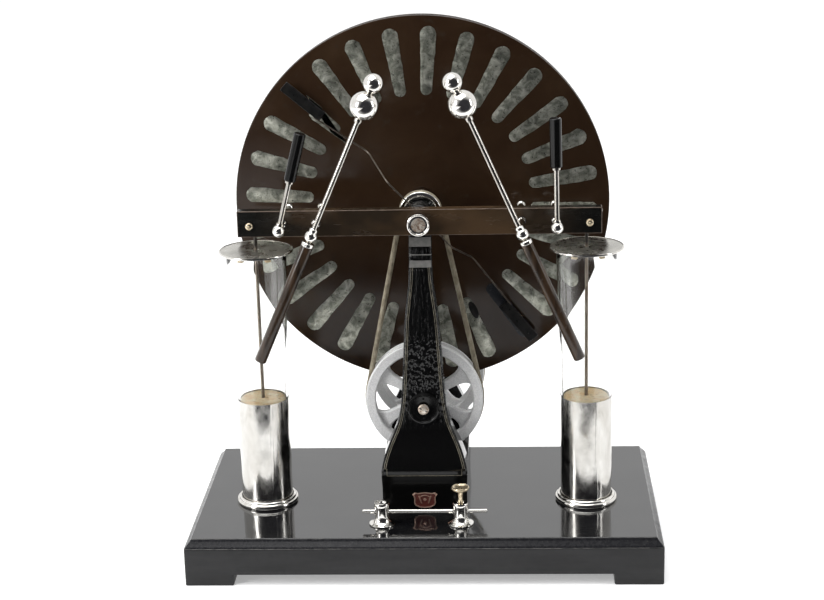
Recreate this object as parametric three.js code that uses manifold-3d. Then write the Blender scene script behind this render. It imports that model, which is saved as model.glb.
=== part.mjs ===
// A twin-plate electrostatic influence machine on a lacquered base.
// Millimetres, +Z up, -Y is the front. The origin is under the middle of the object's box.
import * as THREE from "three";
import { mergeVertices } from "three/addons/utils/BufferGeometryUtils.js";
import Module from "manifold-3d";

const wasm = await Module();
wasm.setup();

// Base board
const baseWidth = 380;
const baseDepth = 208;
const footHeight = 9.5;
const footSide = 39;
const baseTop = 38.5;
const baseChamferStart = 31.5;
const baseChamferInset = 6;

// Frame: two columns on one plinth, mirrored about the plane between the plates
const midPlaneY = 32;
const plinthTop = 70;
const plinthHalfWidth = 35;
const plinthFrontY = -45;
const plinthBackY = 97;
const spindleZ = 280.4;
const axleZ = 123;
const columnInner = 49;
const columnOuter = 63;
const frontFlare = 14;
const rearFlare = 2;
const headRadius = 11.5;

// Plates and their drive; distances called "out" run outwards from the plane between the plates
const plateRadius = 152.5;
const plateInner = 1.4;
const plateOuter = 5.4;
const spindleRadius = 4;
const axleRadius = 3;
const beltOut = 36;
const beltRadius = 2.3;
const pulleyBeltRadius = 15.3;
const wheelBeltRadius = 47;
const beltSlack = 1;
const wheelRadius = 48.2;
const wheelRimInner = 39.8;
const wheelSpokes = 6;

// Cross bars and collectors
const barHalfLength = 143;
const barHeight = 21;
const barOuter = 72;
const innerRodX = 80.5;
const outerRodX = 107.4;
const conductorZ = 281;
const conductorRadius = 2.5;
const combOut = 21;
const combDrop = 5;
const combRadius = 1.8;
const combEndX = 146;
const combBallRadius = 3.8;

// Dischargers and coupling levers, on the front ends of the collector rods
const dischargerY = -82;
const leverY = -64;
const jointBallRadius = 5;
const armRodRadius = 2;
const dischargerLean = THREE.MathUtils.degToRad(23.6);
const largeSphereReach = 109.5;
const largeSphereRadius = 11.1;
const smallSphereReach = 127.7;
const smallSphereRadius = 7.6;
const dischargerHandleEnd = 109;
const handleRadius = 4.6;
const leverHandleLength = 38;
const levers = {
  left: { x: -outerRodX, lean: THREE.MathUtils.degToRad(14.6), reach: 41 },
  right: { x: outerRodX, lean: THREE.MathUtils.degToRad(-0.8), reach: 47.5 },
};

// Leyden jars
const jarX = 132;
const jarY = -18.4;
const jarBottomRadius = 20.3;
const jarFoilTopRadius = 20.6;
const jarTopRadius = 24.4;
const jarWall = 1.6;
const jarTop = 252.4;
const foilTop = 129;
const capRadius = 30;
const capTop = 254.4;
const jarRodRadius = 2.1;

// Terminals on the front of the base
const leftTerminalX = -33.6;
const rightTerminalX = 29.6;
const terminalY = -70.5;
const terminalTop = 57;
const terminalRodZ = 49.4;
const terminalRodRadius = 1.6;

// Crank at the back
const crankThrow = 62;
const crankArmInner = 98.6;
const crankArmOuter = 104.6;
const crankGripEnd = 166;

const gap = 0.3;
const runningGap = 0.1;
// The crank reaches further back than the base, so the middle of the box lies behind the base's middle.
const machineY = -(crankGripEnd + 2 - baseDepth / 2) / 2;

// ---------------------------------------------------------------- solids

function facets(radius) {
  return THREE.MathUtils.clamp(2 * Math.ceil(Math.sqrt(radius) * 1.9), 6, 48);
}

// The radius of a faceted hole whose flats clear a shaft of the given radius.
function boreRadius(shaftRadius, clearance = gap) {
  return (shaftRadius + clearance) / Math.cos(Math.PI / facets(shaftRadius));
}

function toSolid(source) {
  const geometry = source.clone();
  geometry.deleteAttribute("normal");
  geometry.deleteAttribute("uv");
  const merged = mergeVertices(geometry, 1e-4);
  const index = Array.from(merged.index.array);
  const triVerts = [];
  for (let i = 0; i < index.length; i += 3) {
    const [a, b, c] = index.slice(i, i + 3);
    if (a !== b && b !== c && c !== a) triVerts.push(a, b, c);
  }
  const vertProperties = new Float32Array(merged.attributes.position.array);
  const make = (tris) =>
    new wasm.Manifold(new wasm.Mesh({ numProp: 3, vertProperties, triVerts: new Uint32Array(tris) }));
  const solid = make(triVerts);
  if (solid.volume() > 0) return solid;
  return make(triVerts.reverse());
}

function toGeometry(solid) {
  const mesh = solid.getMesh();
  const geometry = new THREE.BufferGeometry();
  geometry.setAttribute("position", new THREE.BufferAttribute(mesh.vertProperties, 3));
  geometry.setIndex(new THREE.BufferAttribute(mesh.triVerts, 1));
  geometry.computeVertexNormals();
  return geometry;
}

function join(...solids) {
  return solids.reduce((whole, piece) => whole.add(piece));
}

function cut(solid, ...tools) {
  return tools.reduce((left, tool) => left.subtract(tool), solid);
}

// A turned solid about Y from [radius, y] points, which start and end on the axis or close on themselves.
function turned(points, segments) {
  const profile = points.map(([radius, y]) => new THREE.Vector2(radius, y));
  return toSolid(new THREE.LatheGeometry(profile, segments));
}

// A turned ring about Y: its section is closed by repeating the first point.
function turnedRing(points, segments) {
  return turned([...points, points[0]], segments);
}

// The same about Z.
function turnedUp(points, segments) {
  return turned(points, segments).rotate([90, 0, 0]);
}

function turnedRingUp(points, segments) {
  return turnedRing(points, segments).rotate([90, 0, 0]);
}

function rodAlongY(radius, y0, y1, x = 0, z = 0, segments = facets(radius)) {
  const points = [[0, y0], [radius, y0], [radius, y1], [0, y1]];
  return turned(points, segments).translate([x, 0, z]);
}

function rodAlongZ(radius, z0, z1, x = 0, y = 0, segments = facets(radius)) {
  return rodAlongY(radius, z0, z1, 0, 0, segments).rotate([90, 0, 0]).translate([x, y, 0]);
}

function rodAlongX(radius, x0, x1, y = 0, z = 0, segments = facets(radius)) {
  return rodAlongY(radius, -x1, -x0, 0, 0, segments).rotate([0, 0, 90]).translate([0, y, z]);
}

function ball(radius, x, y, z) {
  const across = facets(radius);
  return toSolid(new THREE.SphereGeometry(radius, across, across / 2)).translate([x, y, z]);
}

function block(x0, x1, y0, y1, z0, z1) {
  const box = new THREE.BoxGeometry(x1 - x0, y1 - y0, z1 - z0);
  return toSolid(box).translate([(x0 + x1) / 2, (y0 + y1) / 2, (z0 + z1) / 2]);
}

// A solid through rectangular sections, each {z, x, y0, y1} with half width x.
function loft(sections) {
  const positions = sections.flatMap(({ z, x, y0, y1 }) =>
    [-x, y0, z, x, y0, z, x, y1, z, -x, y1, z]);
  const last = (sections.length - 1) * 4;
  const index = [0, 2, 1, 0, 3, 2, last, last + 1, last + 2, last, last + 2, last + 3];
  for (let level = 0; level < sections.length - 1; level += 1) {
    for (let corner = 0; corner < 4; corner += 1) {
      const a = level * 4 + corner;
      const b = level * 4 + ((corner + 1) % 4);
      index.push(a, b, b + 4, a, b + 4, a + 4);
    }
  }
  const geometry = new THREE.BufferGeometry();
  geometry.setAttribute("position", new THREE.Float32BufferAttribute(positions, 3));
  geometry.setIndex(index);
  return toSolid(geometry);
}

// ---------------------------------------------------------------- materials

function paint(color, roughness, metalness = 0) {
  return new THREE.MeshStandardMaterial({ color, roughness, metalness });
}

const materials = {
  lacquer: paint(0x0b0b0c, 0.18),
  castBlack: paint(0x0c0c0d, 0.3),
  ebonite: paint(0x2c1a12, 0.3),
  blackEbonite: paint(0x151010, 0.35),
  nickel: paint(0xd8d6d0, 0.12, 1),
  brass: paint(0xc09a52, 0.3, 1),
  foil: paint(0xb9bbb8, 0.35, 1),
  greyEnamel: paint(0x9a9b9f, 0.5),
  cord: paint(0x9a8f78, 0.9),
  glass: new THREE.MeshStandardMaterial({ color: 0xf2f5f2, roughness: 0.03, transparent: true, opacity: 0.3 }),
  cork: paint(0xc49a63, 0.9),
  badge: paint(0x8a2f22, 0.4),
};

function piece(name, solid, material) {
  const mesh = new THREE.Mesh(toGeometry(solid), materials[material]);
  mesh.name = name;
  return mesh;
}

// ---------------------------------------------------------------- base and plinth

function baseSection(z, inset) {
  return { z, x: baseWidth / 2 - inset, y0: -baseDepth / 2 + inset, y1: baseDepth / 2 - inset };
}

function makeBase() {
  const board = loft([
    baseSection(footHeight, 0),
    baseSection(baseChamferStart, 0),
    baseSection(baseTop - 1.6, baseChamferInset - 1.2),
    baseSection(baseTop - 1.2, baseChamferInset - 0.3),
    baseSection(baseTop, baseChamferInset),
  ]);
  const pieces = [piece("base_board", board, "lacquer")];
  const x = (baseWidth - footSide) / 2;
  const y = (baseDepth - footSide) / 2;
  const half = footSide / 2;
  const corners = { front_left: [-x, -y], front_right: [x, -y], rear_left: [-x, y], rear_right: [x, y] };
  for (const [corner, [cx, cy]] of Object.entries(corners)) {
    const foot = block(cx - half, cx + half, cy - half, cy + half, 0, footHeight);
    pieces.push(piece(`foot_${corner}`, foot, "lacquer"));
  }
  return pieces;
}

function makePlinth() {
  const section = (z, inset) => ({
    z, x: plinthHalfWidth - inset, y0: plinthFrontY + inset, y1: plinthBackY - inset,
  });
  return piece("plinth", loft([section(baseTop, 0), section(plinthTop, 0)]), "castBlack");
}

function makeBadge() {
  const half = 10.2;
  const shape = new THREE.Shape();
  shape.moveTo(0, -7);
  shape.quadraticCurveTo(half * 0.8, -5.6, half * 0.9, -1);
  shape.lineTo(half, 5.5);
  shape.quadraticCurveTo(half * 0.55, 7.4, 0, 6.6);
  shape.quadraticCurveTo(-half * 0.55, 7.4, -half, 5.5);
  shape.lineTo(-half * 0.9, -1);
  shape.quadraticCurveTo(-half * 0.8, -5.6, 0, -7);
  const plate = new THREE.ExtrudeGeometry(shape, { depth: 0.9, bevelEnabled: false, curveSegments: 4 });
  const solid = toSolid(plate).rotate([90, 0, 0]).translate([0, plinthFrontY, 48.5]);
  return piece("badge", solid, "badge");
}

// ---------------------------------------------------------------- one half of the machine
// Built facing -Y about the plane between the plates; the rear half is the same, turned about Z.

function makeColumn(side, flare) {
  const outline = [
    [plinthTop, 35, 1], [76, 34.4, 0.97], [83, 32.6, 0.78], [90, 30, 0.48], [97, 26.8, 0.22],
    [104, 23.6, 0.07], [110, 21.4, 0], [120, 19.2, 0], [132, 17.7, 0], [150, 16.4, 0], [176, 15, 0],
    [198, 13.6, 0], [214, 11.8, 0], [231, 9.6, 0], [246, 9.1, 0], [spindleZ, 9, 0],
  ];
  const body = loft(outline.map(([z, x, spread]) =>
    ({ z, x, y0: -columnOuter - spread * flare, y1: -columnInner })));
  const head = rodAlongY(headRadius, -columnOuter, -columnInner, 0, spindleZ);
  const boss = rodAlongY(7.5, -columnInner - 1, -43, 0, spindleZ);
  const bores = [
    rodAlongY(boreRadius(spindleRadius), -80, -40, 0, spindleZ, facets(spindleRadius)),
    rodAlongY(boreRadius(axleRadius), -80, -40, 0, axleZ, facets(axleRadius)),
  ];
  return piece(`${side}_column`, cut(join(body, head, boss), ...bores), "castBlack");
}

function makeBearingCap(side) {
  const bore = boreRadius(axleRadius);
  const ring = [
    [bore, -columnOuter], [bore, -64.6], [10.6, -64.6], [11, -66.2], [12.6, -66.2], [13.2, -65.4],
    [13.2, -columnOuter],
  ];
  const solid = turnedRing(ring, 16).translate([0, 0, axleZ]);
  return piece(`${side}_bearing_cap`, solid, "castBlack");
}

function makeBar(side) {
  const z0 = spindleZ - barHeight / 2;
  const bar = block(-barHalfLength, barHalfLength, -barOuter, -columnOuter, z0, z0 + barHeight);
  const holes = [-outerRodX, -innerRodX, innerRodX, outerRodX].map((x) =>
    rodAlongY(boreRadius(conductorRadius), -80, -60, x, conductorZ, facets(conductorRadius)));
  const spindleHole = rodAlongY(boreRadius(spindleRadius), -80, -60, 0, spindleZ, facets(spindleRadius));
  return piece(`${side}_bar`, cut(bar, spindleHole, ...holes), "ebonite");
}

function makeSpindleNut(side) {
  const bore = boreRadius(spindleRadius);
  const knob = [
    [bore, -barOuter], [9.1, -barOuter], [9.1, -81], [8.3, -82], [7.4, -82], [6.8, -81.2], [0, -80.6],
    [0, -77], [bore, -77],
  ];
  const solid = turnedRing(knob, 16).translate([0, 0, spindleZ]);
  return piece(`${side}_spindle_nut`, solid, "nickel");
}

function makeHubPulley(side) {
  const bore = boreRadius(spindleRadius, runningGap);
  const floor = pulleyBeltRadius - beltRadius - beltSlack;
  const flange = 16.8;
  const hub = 12.9;
  const profile = [
    [bore, -40.4], [flange, -40.4], [flange, -beltOut - 3.6], [floor, -beltOut - 1.9],
    [floor, -beltOut + 1.9], [flange, -beltOut + 3.6], [flange, -31.6], [hub, -31.2],
    [hub, -plateOuter - 0.1], [bore, -plateOuter - 0.1],
  ];
  const solid = turnedRing(profile, 18).translate([0, 0, spindleZ]);
  return piece(`${side}_hub_pulley`, solid, "nickel");
}

function makePlate(side) {
  const bore = boreRadius(spindleRadius, runningGap);
  const profile = [
    [bore, -plateOuter], [plateRadius - 0.6, -plateOuter], [plateRadius, -plateOuter + 0.6],
    [plateRadius, -plateInner - 0.6], [plateRadius - 0.6, -plateInner], [bore, -plateInner],
  ];
  return piece(`${side}_plate`, turnedRing(profile, 48).translate([0, 0, spindleZ]), "ebonite");
}

function makeDriveWheel(side, spokeTurn) {
  const floor = wheelBeltRadius - beltRadius - beltSlack;
  const rim = turnedRing([
    [wheelRimInner, -43], [wheelRadius, -43], [wheelRadius, -beltOut - 3.2], [floor, -beltOut - 1.9],
    [floor, -beltOut + 1.9], [wheelRadius, -beltOut + 3.2], [wheelRadius, -29.5], [wheelRimInner, -29.5],
  ], 30);
  const bore = boreRadius(axleRadius);
  const hub = rodAlongY(10, -44.5, -28.5, 0, 0, 18);
  const spokeShape = new THREE.Shape();
  spokeShape.moveTo(-4.4, 6);
  spokeShape.lineTo(4.4, 6);
  spokeShape.lineTo(5.2, wheelRimInner - 6);
  spokeShape.lineTo(8.2, wheelRimInner + 1);
  spokeShape.lineTo(-8.2, wheelRimInner + 1);
  spokeShape.lineTo(-5.2, wheelRimInner - 6);
  const plate = new THREE.ExtrudeGeometry(spokeShape, { depth: 5.5, bevelEnabled: false });
  const spoke = toSolid(plate).rotate([90, 0, 0]).translate([0, -33.4, 0]);
  const spokes = [];
  for (let number = 0; number < wheelSpokes; number += 1) {
    spokes.push(spoke.rotate([0, spokeTurn + (360 * number) / wheelSpokes, 0]));
  }
  const axleHole = rodAlongY(bore, -60, -20, 0, 0, facets(axleRadius));
  const solid = cut(join(rim, hub, ...spokes), axleHole).translate([0, 0, axleZ]);
  return piece(`${side}_drive_wheel`, solid, "greyEnamel");
}

function arcPoints(centreZ, radius, from, to, count) {
  const points = [];
  for (let step = 0; step <= count; step += 1) {
    const angle = from + ((to - from) * step) / count;
    points.push(new THREE.Vector3(radius * Math.cos(angle), -beltOut, centreZ + radius * Math.sin(angle)));
  }
  return points;
}

// The points inside a straight run, pushed sideways in its middle so that crossed runs pass each other.
function runPoints(start, end, sidestep, count = 4) {
  const points = [];
  for (let step = 1; step < count; step += 1) {
    const point = start.clone().lerp(end, step / count);
    point.y += sidestep * Math.sin((Math.PI * step) / count);
    points.push(point);
  }
  return points;
}

function makeBelt(side, crossed) {
  const distance = spindleZ - axleZ;
  const reach = wheelBeltRadius + (crossed ? pulleyBeltRadius : -pulleyBeltRadius);
  const tilt = Math.asin(reach / distance) * (crossed ? -1 : 1);
  const upper = arcPoints(spindleZ, pulleyBeltRadius, tilt, Math.PI - tilt, 9);
  const lower = crossed
    ? arcPoints(axleZ, wheelBeltRadius, -tilt, tilt - Math.PI, 14)
    : arcPoints(axleZ, wheelBeltRadius, Math.PI - tilt, 2 * Math.PI + tilt, 14);
  const sidestep = crossed ? beltRadius + 0.6 : 0;
  const points = [
    ...upper, ...runPoints(upper.at(-1), lower[0], sidestep),
    ...lower, ...runPoints(lower.at(-1), upper[0], -sidestep),
  ];
  const path = new THREE.CatmullRomCurve3(points, true, "centripetal");
  const tube = toSolid(new THREE.TubeGeometry(path, 64, beltRadius, 6, true));
  return piece(`${side}_belt`, tube, "cord");
}

// A round bar through a list of points, its bends sharp.
function bentRod(points, radius) {
  const path = new THREE.CurvePath();
  for (let i = 1; i < points.length; i += 1) path.add(new THREE.LineCurve3(points[i - 1], points[i]));
  const section = new THREE.Shape();
  section.absarc(0, 0, radius, 0, 2 * Math.PI);
  const parts = path.curves.map((curve) => toSolid(
    new THREE.ExtrudeGeometry(section, { steps: 1, extrudePath: curve, bevelEnabled: false, curveSegments: 3 }),
  ));
  const knees = points.slice(1, -1).map((point) => ball(radius * 1.02, point.x, point.y, point.z));
  return join(...parts, ...knees);
}

function makeNeutraliser(side) {
  const collar = turnedRing([[boreRadius(7.5), -48.6], [11, -48.6], [11, -43.4], [boreRadius(7.5), -43.4]], 16);
  const point = (reach, degrees, out) => {
    const angle = THREE.MathUtils.degToRad(degrees);
    return new THREE.Vector3(reach * Math.cos(angle), -out, reach * Math.sin(angle));
  };
  const arms = [[134, 139.5], [-48.2, -50.2]].map(([bend, end]) =>
    bentRod([point(10, bend, 46), point(37, bend, 46), point(61, bend, 12), point(141, end, 12)], 1));
  const holders = [139.5, -50.2].map((end) => block(107, 147, -12.7, -10.7, -8.7, 0.3).rotate([0, -end, 0]));
  const solid = join(collar, ...arms, ...holders).translate([0, 0, spindleZ]);
  return piece(`${side}_neutraliser`, solid, "blackEbonite");
}

// The rods of one collector, soldered to a comb rod that faces the plate.
function makeCollector(name, x, innerFront, outerFront) {
  const sign = Math.sign(x);
  const comb = rodAlongX(combRadius, Math.min(sign * 77, sign * combEndX), Math.max(sign * 77, sign * combEndX),
    -combOut, conductorZ - combDrop);
  const parts = [[innerRodX, innerFront], [outerRodX, outerFront]].flatMap(([rodX, front]) => [
    rodAlongY(conductorRadius, front, -combOut, sign * rodX, conductorZ),
    ball(combBallRadius, sign * rodX, -combOut, conductorZ),
  ]);
  return piece(name, join(comb, ...parts), "nickel");
}

function makeHalf(side, flare, crossed, spokeTurn, turn) {
  const half = new THREE.Group();
  half.position.set(0, midPlaneY, 0);
  half.rotation.z = turn;
  half.add(
    makeColumn(side, flare), makeBearingCap(side), makeBar(side), makeSpindleNut(side),
    makeHubPulley(side), makePlate(side), makeDriveWheel(side, spokeTurn), makeBelt(side, crossed),
    makeNeutraliser(side),
  );
  return half;
}

function makeCollectors() {
  const front = new THREE.Group();
  front.position.set(0, midPlaneY, 0);
  const innerFront = dischargerY + jointBallRadius - 1.6 - midPlaneY;
  const outerFront = leverY + jointBallRadius - 2 - midPlaneY;
  front.add(makeCollector("left_front_collector", -1, innerFront, outerFront));
  front.add(makeCollector("right_front_collector", 1, innerFront, outerFront));
  const rear = new THREE.Group();
  rear.position.set(0, midPlaneY, 0);
  rear.rotation.z = Math.PI;
  const behindBar = -barOuter - 3;
  rear.add(makeCollector("left_rear_collector", 1, behindBar, behindBar));
  rear.add(makeCollector("right_rear_collector", -1, behindBar, behindBar));
  return [front, rear];
}

// ---------------------------------------------------------------- shafts and crank

function makeSpindle() {
  const out = 75;
  const solid = rodAlongY(spindleRadius, midPlaneY - out, midPlaneY + out, 0, spindleZ);
  return piece("upper_spindle", solid, "nickel");
}

function makeDriveAxle() {
  const frontFace = midPlaneY - 66.5;
  const shaft = rodAlongY(axleRadius, frontFace, crankArmInner - gap, 0, axleZ);
  const head = turned([[0, frontFace - 2.4], [3.2, frontFace - 2], [4.5, frontFace - 0.8], [4.5, frontFace],
    [0, frontFace]], 16).translate([0, 0, axleZ]);
  return piece("drive_axle", join(shaft, head), "nickel");
}

function makeCrank() {
  const arm = new THREE.Shape();
  arm.absarc(0, 0, 8, 0, Math.PI);
  arm.absarc(0, -crankThrow, 6.5, Math.PI, 2 * Math.PI);
  const depth = crankArmOuter - crankArmInner;
  const extruded = new THREE.ExtrudeGeometry(arm, { depth, bevelEnabled: false, curveSegments: 8 });
  const plate = toSolid(extruded).rotate([90, 0, 0]).translate([0, crankArmOuter, axleZ]);
  const pin = rodAlongY(3, crankArmOuter - 1, crankGripEnd, 0, axleZ - crankThrow);
  const pinHead = rodAlongY(4.4, crankGripEnd - 1, crankGripEnd + 2, 0, axleZ - crankThrow, 12);
  const bore = boreRadius(3, runningGap);
  const grip = turnedRing([
    [bore, 105], [6.4, 105], [7.6, 109], [6.8, 114], [9.2, 130], [9.8, 143], [8.6, 156], [6, 163],
    [5.2, 164.4], [bore, 164.4],
  ], 16).translate([0, 0, axleZ - crankThrow]);
  return [
    piece("crank_arm", join(plate, pin, pinHead), "nickel"),
    piece("crank_grip", grip, "blackEbonite"),
  ];
}

// ---------------------------------------------------------------- dischargers and levers

// A ball with a blind bore in its back, which sits on the front end of a collector rod.
function jointBall(bottomY) {
  const bore = rodAlongY(boreRadius(conductorRadius), bottomY, jointBallRadius + 2, 0, 0,
    facets(conductorRadius));
  return cut(ball(jointBallRadius, 0, 0, 0), bore);
}

function makeDischarger(side, x, lean) {
  const arm = new THREE.Group();
  arm.position.set(x, dischargerY, conductorZ);
  arm.rotation.y = lean;
  const hole = rodAlongZ(boreRadius(armRodRadius), -20, 20, 0, 0, facets(armRodRadius));
  const rod = join(
    rodAlongZ(armRodRadius, -16, largeSphereReach),
    ball(largeSphereRadius, 0, 0, largeSphereReach),
    rodAlongZ(3, largeSphereReach, smallSphereReach),
    ball(smallSphereRadius, 0, 0, smallSphereReach),
  );
  const bore = boreRadius(armRodRadius);
  const handle = turnedRingUp([
    [bore, -5.6], [5.4, -5.6], [5.6, -6.6], [5.4, -8.2], [handleRadius, -8.6],
    [handleRadius, -dischargerHandleEnd + 1], [handleRadius - 0.8, -dischargerHandleEnd],
    [0, -dischargerHandleEnd], [0, -16.4], [bore, -16.4],
  ], 12);
  arm.add(
    piece(`${side}_discharger_ball`, cut(jointBall(jointBallRadius - 1.9), hole), "nickel"),
    piece(`${side}_discharger_rod`, rod, "nickel"),
    piece(`${side}_discharger_handle`, handle, "ebonite"),
  );
  return arm;
}

function makeLever(side, { x, lean, reach }) {
  const arm = new THREE.Group();
  arm.position.set(x, leverY, conductorZ);
  arm.rotation.y = lean;
  const rod = join(jointBall(jointBallRadius - 2.3), rodAlongZ(armRodRadius, 2.6, reach + 12));
  const bore = boreRadius(armRodRadius);
  const end = reach + leverHandleLength;
  const handle = turnedRingUp([
    [bore, reach], [handleRadius - 0.5, reach], [handleRadius, reach + 0.6], [handleRadius, end - 0.6],
    [handleRadius - 0.5, end], [0, end], [0, reach + 12.4], [bore, reach + 12.4],
  ], 12);
  arm.add(
    piece(`${side}_lever_rod`, rod, "nickel"),
    piece(`${side}_lever_handle`, handle, "blackEbonite"),
  );
  return arm;
}

// ---------------------------------------------------------------- Leyden jars

function jarOuterRadius(z) {
  if (z <= foilTop) {
    return THREE.MathUtils.mapLinear(z, baseTop, foilTop, jarBottomRadius, jarFoilTopRadius);
  }
  return THREE.MathUtils.mapLinear(z, foilTop, jarTop, jarFoilTopRadius, jarTopRadius);
}

function makeJar(side, x) {
  const jar = new THREE.Group();
  jar.position.set(x, jarY, 0);
  const segments = 24;
  const inner = (z) => jarOuterRadius(z) - jarWall;
  const glass = turnedUp([
    [0, baseTop], [jarOuterRadius(baseTop), baseTop], [jarOuterRadius(foilTop), foilTop],
    [jarOuterRadius(jarTop), jarTop], [inner(jarTop), jarTop], [inner(foilTop), foilTop],
    [inner(baseTop), baseTop + 2.4], [0, baseTop + 2.4],
  ], segments);
  const foilInner = 0.2;
  const foilOuter = 0.6;
  const foil = turnedRingUp([
    [jarOuterRadius(43) + foilInner, 43], [jarOuterRadius(43) + foilOuter, 43],
    [jarOuterRadius(foilTop) + foilOuter, foilTop], [jarOuterRadius(foilTop) + foilInner, foilTop],
  ], segments);
  const ringInner = jarOuterRadius(baseTop) + 0.9;
  const ring = turnedRingUp([
    [ringInner, baseTop], [25.5, baseTop], [25.5, 42.6], [24.8, 43.8], [23.4, 44.5], [ringInner, 44.5],
  ], segments);
  const rodBore = boreRadius(jarRodRadius);
  const corkRadius = inner(124) - 0.4;
  const cork = turnedRingUp([
    [rodBore, 116], [corkRadius, 116], [corkRadius, foilTop - 0.8], [corkRadius - 0.8, foilTop],
    [rodBore, foilTop],
  ], 16);
  const clipTop = spindleZ - 2;
  const clip = block(-4.5, 4.5, midPlaneY - columnOuter - jarY, 4, clipTop - 9, clipTop);
  const rod = join(rodAlongZ(jarRodRadius, 52, clipTop - 1), clip);
  const cap = join(
    turnedRingUp([
      [rodBore, 253], [capRadius - 0.8, jarTop + 0.2], [capRadius, 253.2], [capRadius - 0.6, 253.9],
      [20, capTop], [rodBore, capTop],
    ], segments),
    ...[20, 140, 260].map((degrees) => block(19.4, 22.2, -2.2, 2.2, 249, 253.6).rotate([0, 0, degrees])),
  );
  jar.add(
    piece(`${side}_jar_ring`, ring, "nickel"),
    piece(`${side}_jar_glass`, glass, "glass"),
    piece(`${side}_jar_foil`, foil, "foil"),
    piece(`${side}_jar_cork`, cork, "cork"),
    piece(`${side}_jar_rod`, rod, "nickel"),
    piece(`${side}_jar_cap`, cap, "nickel"),
  );
  return jar;
}

// ---------------------------------------------------------------- terminals

function makeTerminalPost(side, x) {
  const post = turnedUp([
    [0, baseTop], [10.4, baseTop], [10.4, baseTop + 1], [8.6, baseTop + 2.2], [6.2, 42.6], [5.5, 45.6],
    [5.5, 53.6], [6.3, 55], [6.3, terminalTop], [0, terminalTop],
  ], 14).translate([x, terminalY, 0]);
  const rodHole = rodAlongX(boreRadius(terminalRodRadius), x - 12, x + 12, terminalY, terminalRodZ,
    facets(terminalRodRadius));
  const screwHole = rodAlongZ(boreRadius(2), terminalRodZ + terminalRodRadius + gap, terminalTop + 5, x,
    terminalY, facets(2));
  return piece(`${side}_terminal_post`, cut(post, rodHole, screwHole), "nickel");
}

function makeTerminals() {
  const rod = rodAlongX(terminalRodRadius, -49.4, 51, terminalY, terminalRodZ);
  const tip = terminalRodZ + terminalRodRadius + 2 * gap;
  const thumbscrew = turnedUp([
    [0, tip], [2, tip], [2, 66.2], [6.6, 67.6], [7.3, 69], [7.2, 70.4], [0, 70.4],
  ], 14).translate([rightTerminalX, terminalY, 0]);
  return [
    makeTerminalPost("left", leftTerminalX),
    makeTerminalPost("right", rightTerminalX),
    piece("terminal_rod", rod, "nickel"),
    piece("terminal_thumbscrew", thumbscrew, "brass"),
  ];
}

// ---------------------------------------------------------------- assembly

const machine = new THREE.Group();
machine.position.set(0, machineY, 0);
machine.add(
  ...makeBase(), makePlinth(), makeBadge(),
  makeHalf("front", frontFlare, false, 0, 0),
  makeHalf("rear", rearFlare, true, 30, Math.PI),
  ...makeCollectors(),
  makeSpindle(), makeDriveAxle(), ...makeCrank(),
  makeDischarger("left", -innerRodX, dischargerLean),
  makeDischarger("right", innerRodX, -dischargerLean),
  makeLever("left", levers.left),
  makeLever("right", levers.right),
  makeJar("left", -jarX),
  makeJar("right", jarX),
  ...makeTerminals(),
);

const group = new THREE.Group();
group.add(machine);

export default group;
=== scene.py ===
"""A twin-plate electrostatic influence machine, detailed around its CAD frame."""

import math
import random

import bmesh
import bpy
from mathutils import Matrix, Vector, noise


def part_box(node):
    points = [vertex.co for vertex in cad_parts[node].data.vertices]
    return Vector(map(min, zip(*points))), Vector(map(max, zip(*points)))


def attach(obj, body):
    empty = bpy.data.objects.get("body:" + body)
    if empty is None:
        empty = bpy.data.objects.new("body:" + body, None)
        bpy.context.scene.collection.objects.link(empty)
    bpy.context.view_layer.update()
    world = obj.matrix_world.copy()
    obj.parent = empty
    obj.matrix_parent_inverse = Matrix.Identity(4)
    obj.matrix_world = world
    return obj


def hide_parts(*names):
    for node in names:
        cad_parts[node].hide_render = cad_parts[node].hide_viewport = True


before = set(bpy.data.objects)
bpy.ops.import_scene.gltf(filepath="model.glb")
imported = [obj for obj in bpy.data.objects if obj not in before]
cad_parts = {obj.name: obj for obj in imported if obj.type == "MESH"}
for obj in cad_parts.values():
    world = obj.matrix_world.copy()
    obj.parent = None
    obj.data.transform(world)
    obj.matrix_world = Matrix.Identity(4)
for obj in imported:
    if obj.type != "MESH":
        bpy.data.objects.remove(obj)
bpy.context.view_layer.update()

MM = 0.001
FRONT = (0, -1, 0)
BACK = (0, 1, 0)
UP = (0, 0, 1)


# ---------------------------------------------------------------- places, in millimetres, from the frame
# "Out" is a distance forwards from the plane between the plates.

def ends(node):
    """The lowest and highest corners of a CAD node."""
    low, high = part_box(node)
    return [value / MM for value in low], [value / MM for value in high]


def middle(node):
    low, high = ends(node)
    return Vector([(a + b) / 2 for a, b in zip(low, high)])


BASE_LOW, BASE_HIGH = ends("base_board")
BASE_TOP = BASE_HIGH[2]
PLINTH_LOW, PLINTH_HIGH = ends("plinth")
PLATE_LOW, PLATE_HIGH = ends("front_plate")
BAR_LOW, BAR_HIGH = ends("front_bar")
CAP_LOW, CAP_HIGH = ends("right_jar_cap")
SPINDLE_Z = middle("front_plate").z
AXLE_Z = middle("front_drive_wheel").z
PLATE_RADIUS = PLATE_HIGH[0]
PLATE_OUT = -PLATE_LOW[1]
PLATE_IN = -PLATE_HIGH[1]
BAR_OUT = -BAR_LOW[1]
COLUMN_OUT = -BAR_HIGH[1]
COLUMN_IN = 49
JAR_X, JAR_Y, _ = middle("right_jar_glass")
JAR_TOP = ends("right_jar_glass")[1][2]
FOIL_TOP = ends("right_jar_foil")[1][2]
CAP_TOP = CAP_HIGH[2]
CAP_RADIUS = (CAP_HIGH[0] - CAP_LOW[0]) / 2
INNER_ROD_X = 80.5
OUTER_ROD_X = 107.4
CONDUCTOR_Z = 281
COMB_Z = CONDUCTOR_Z - 5
COMB_OUT = 21
DISCHARGER_Y = -114
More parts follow.
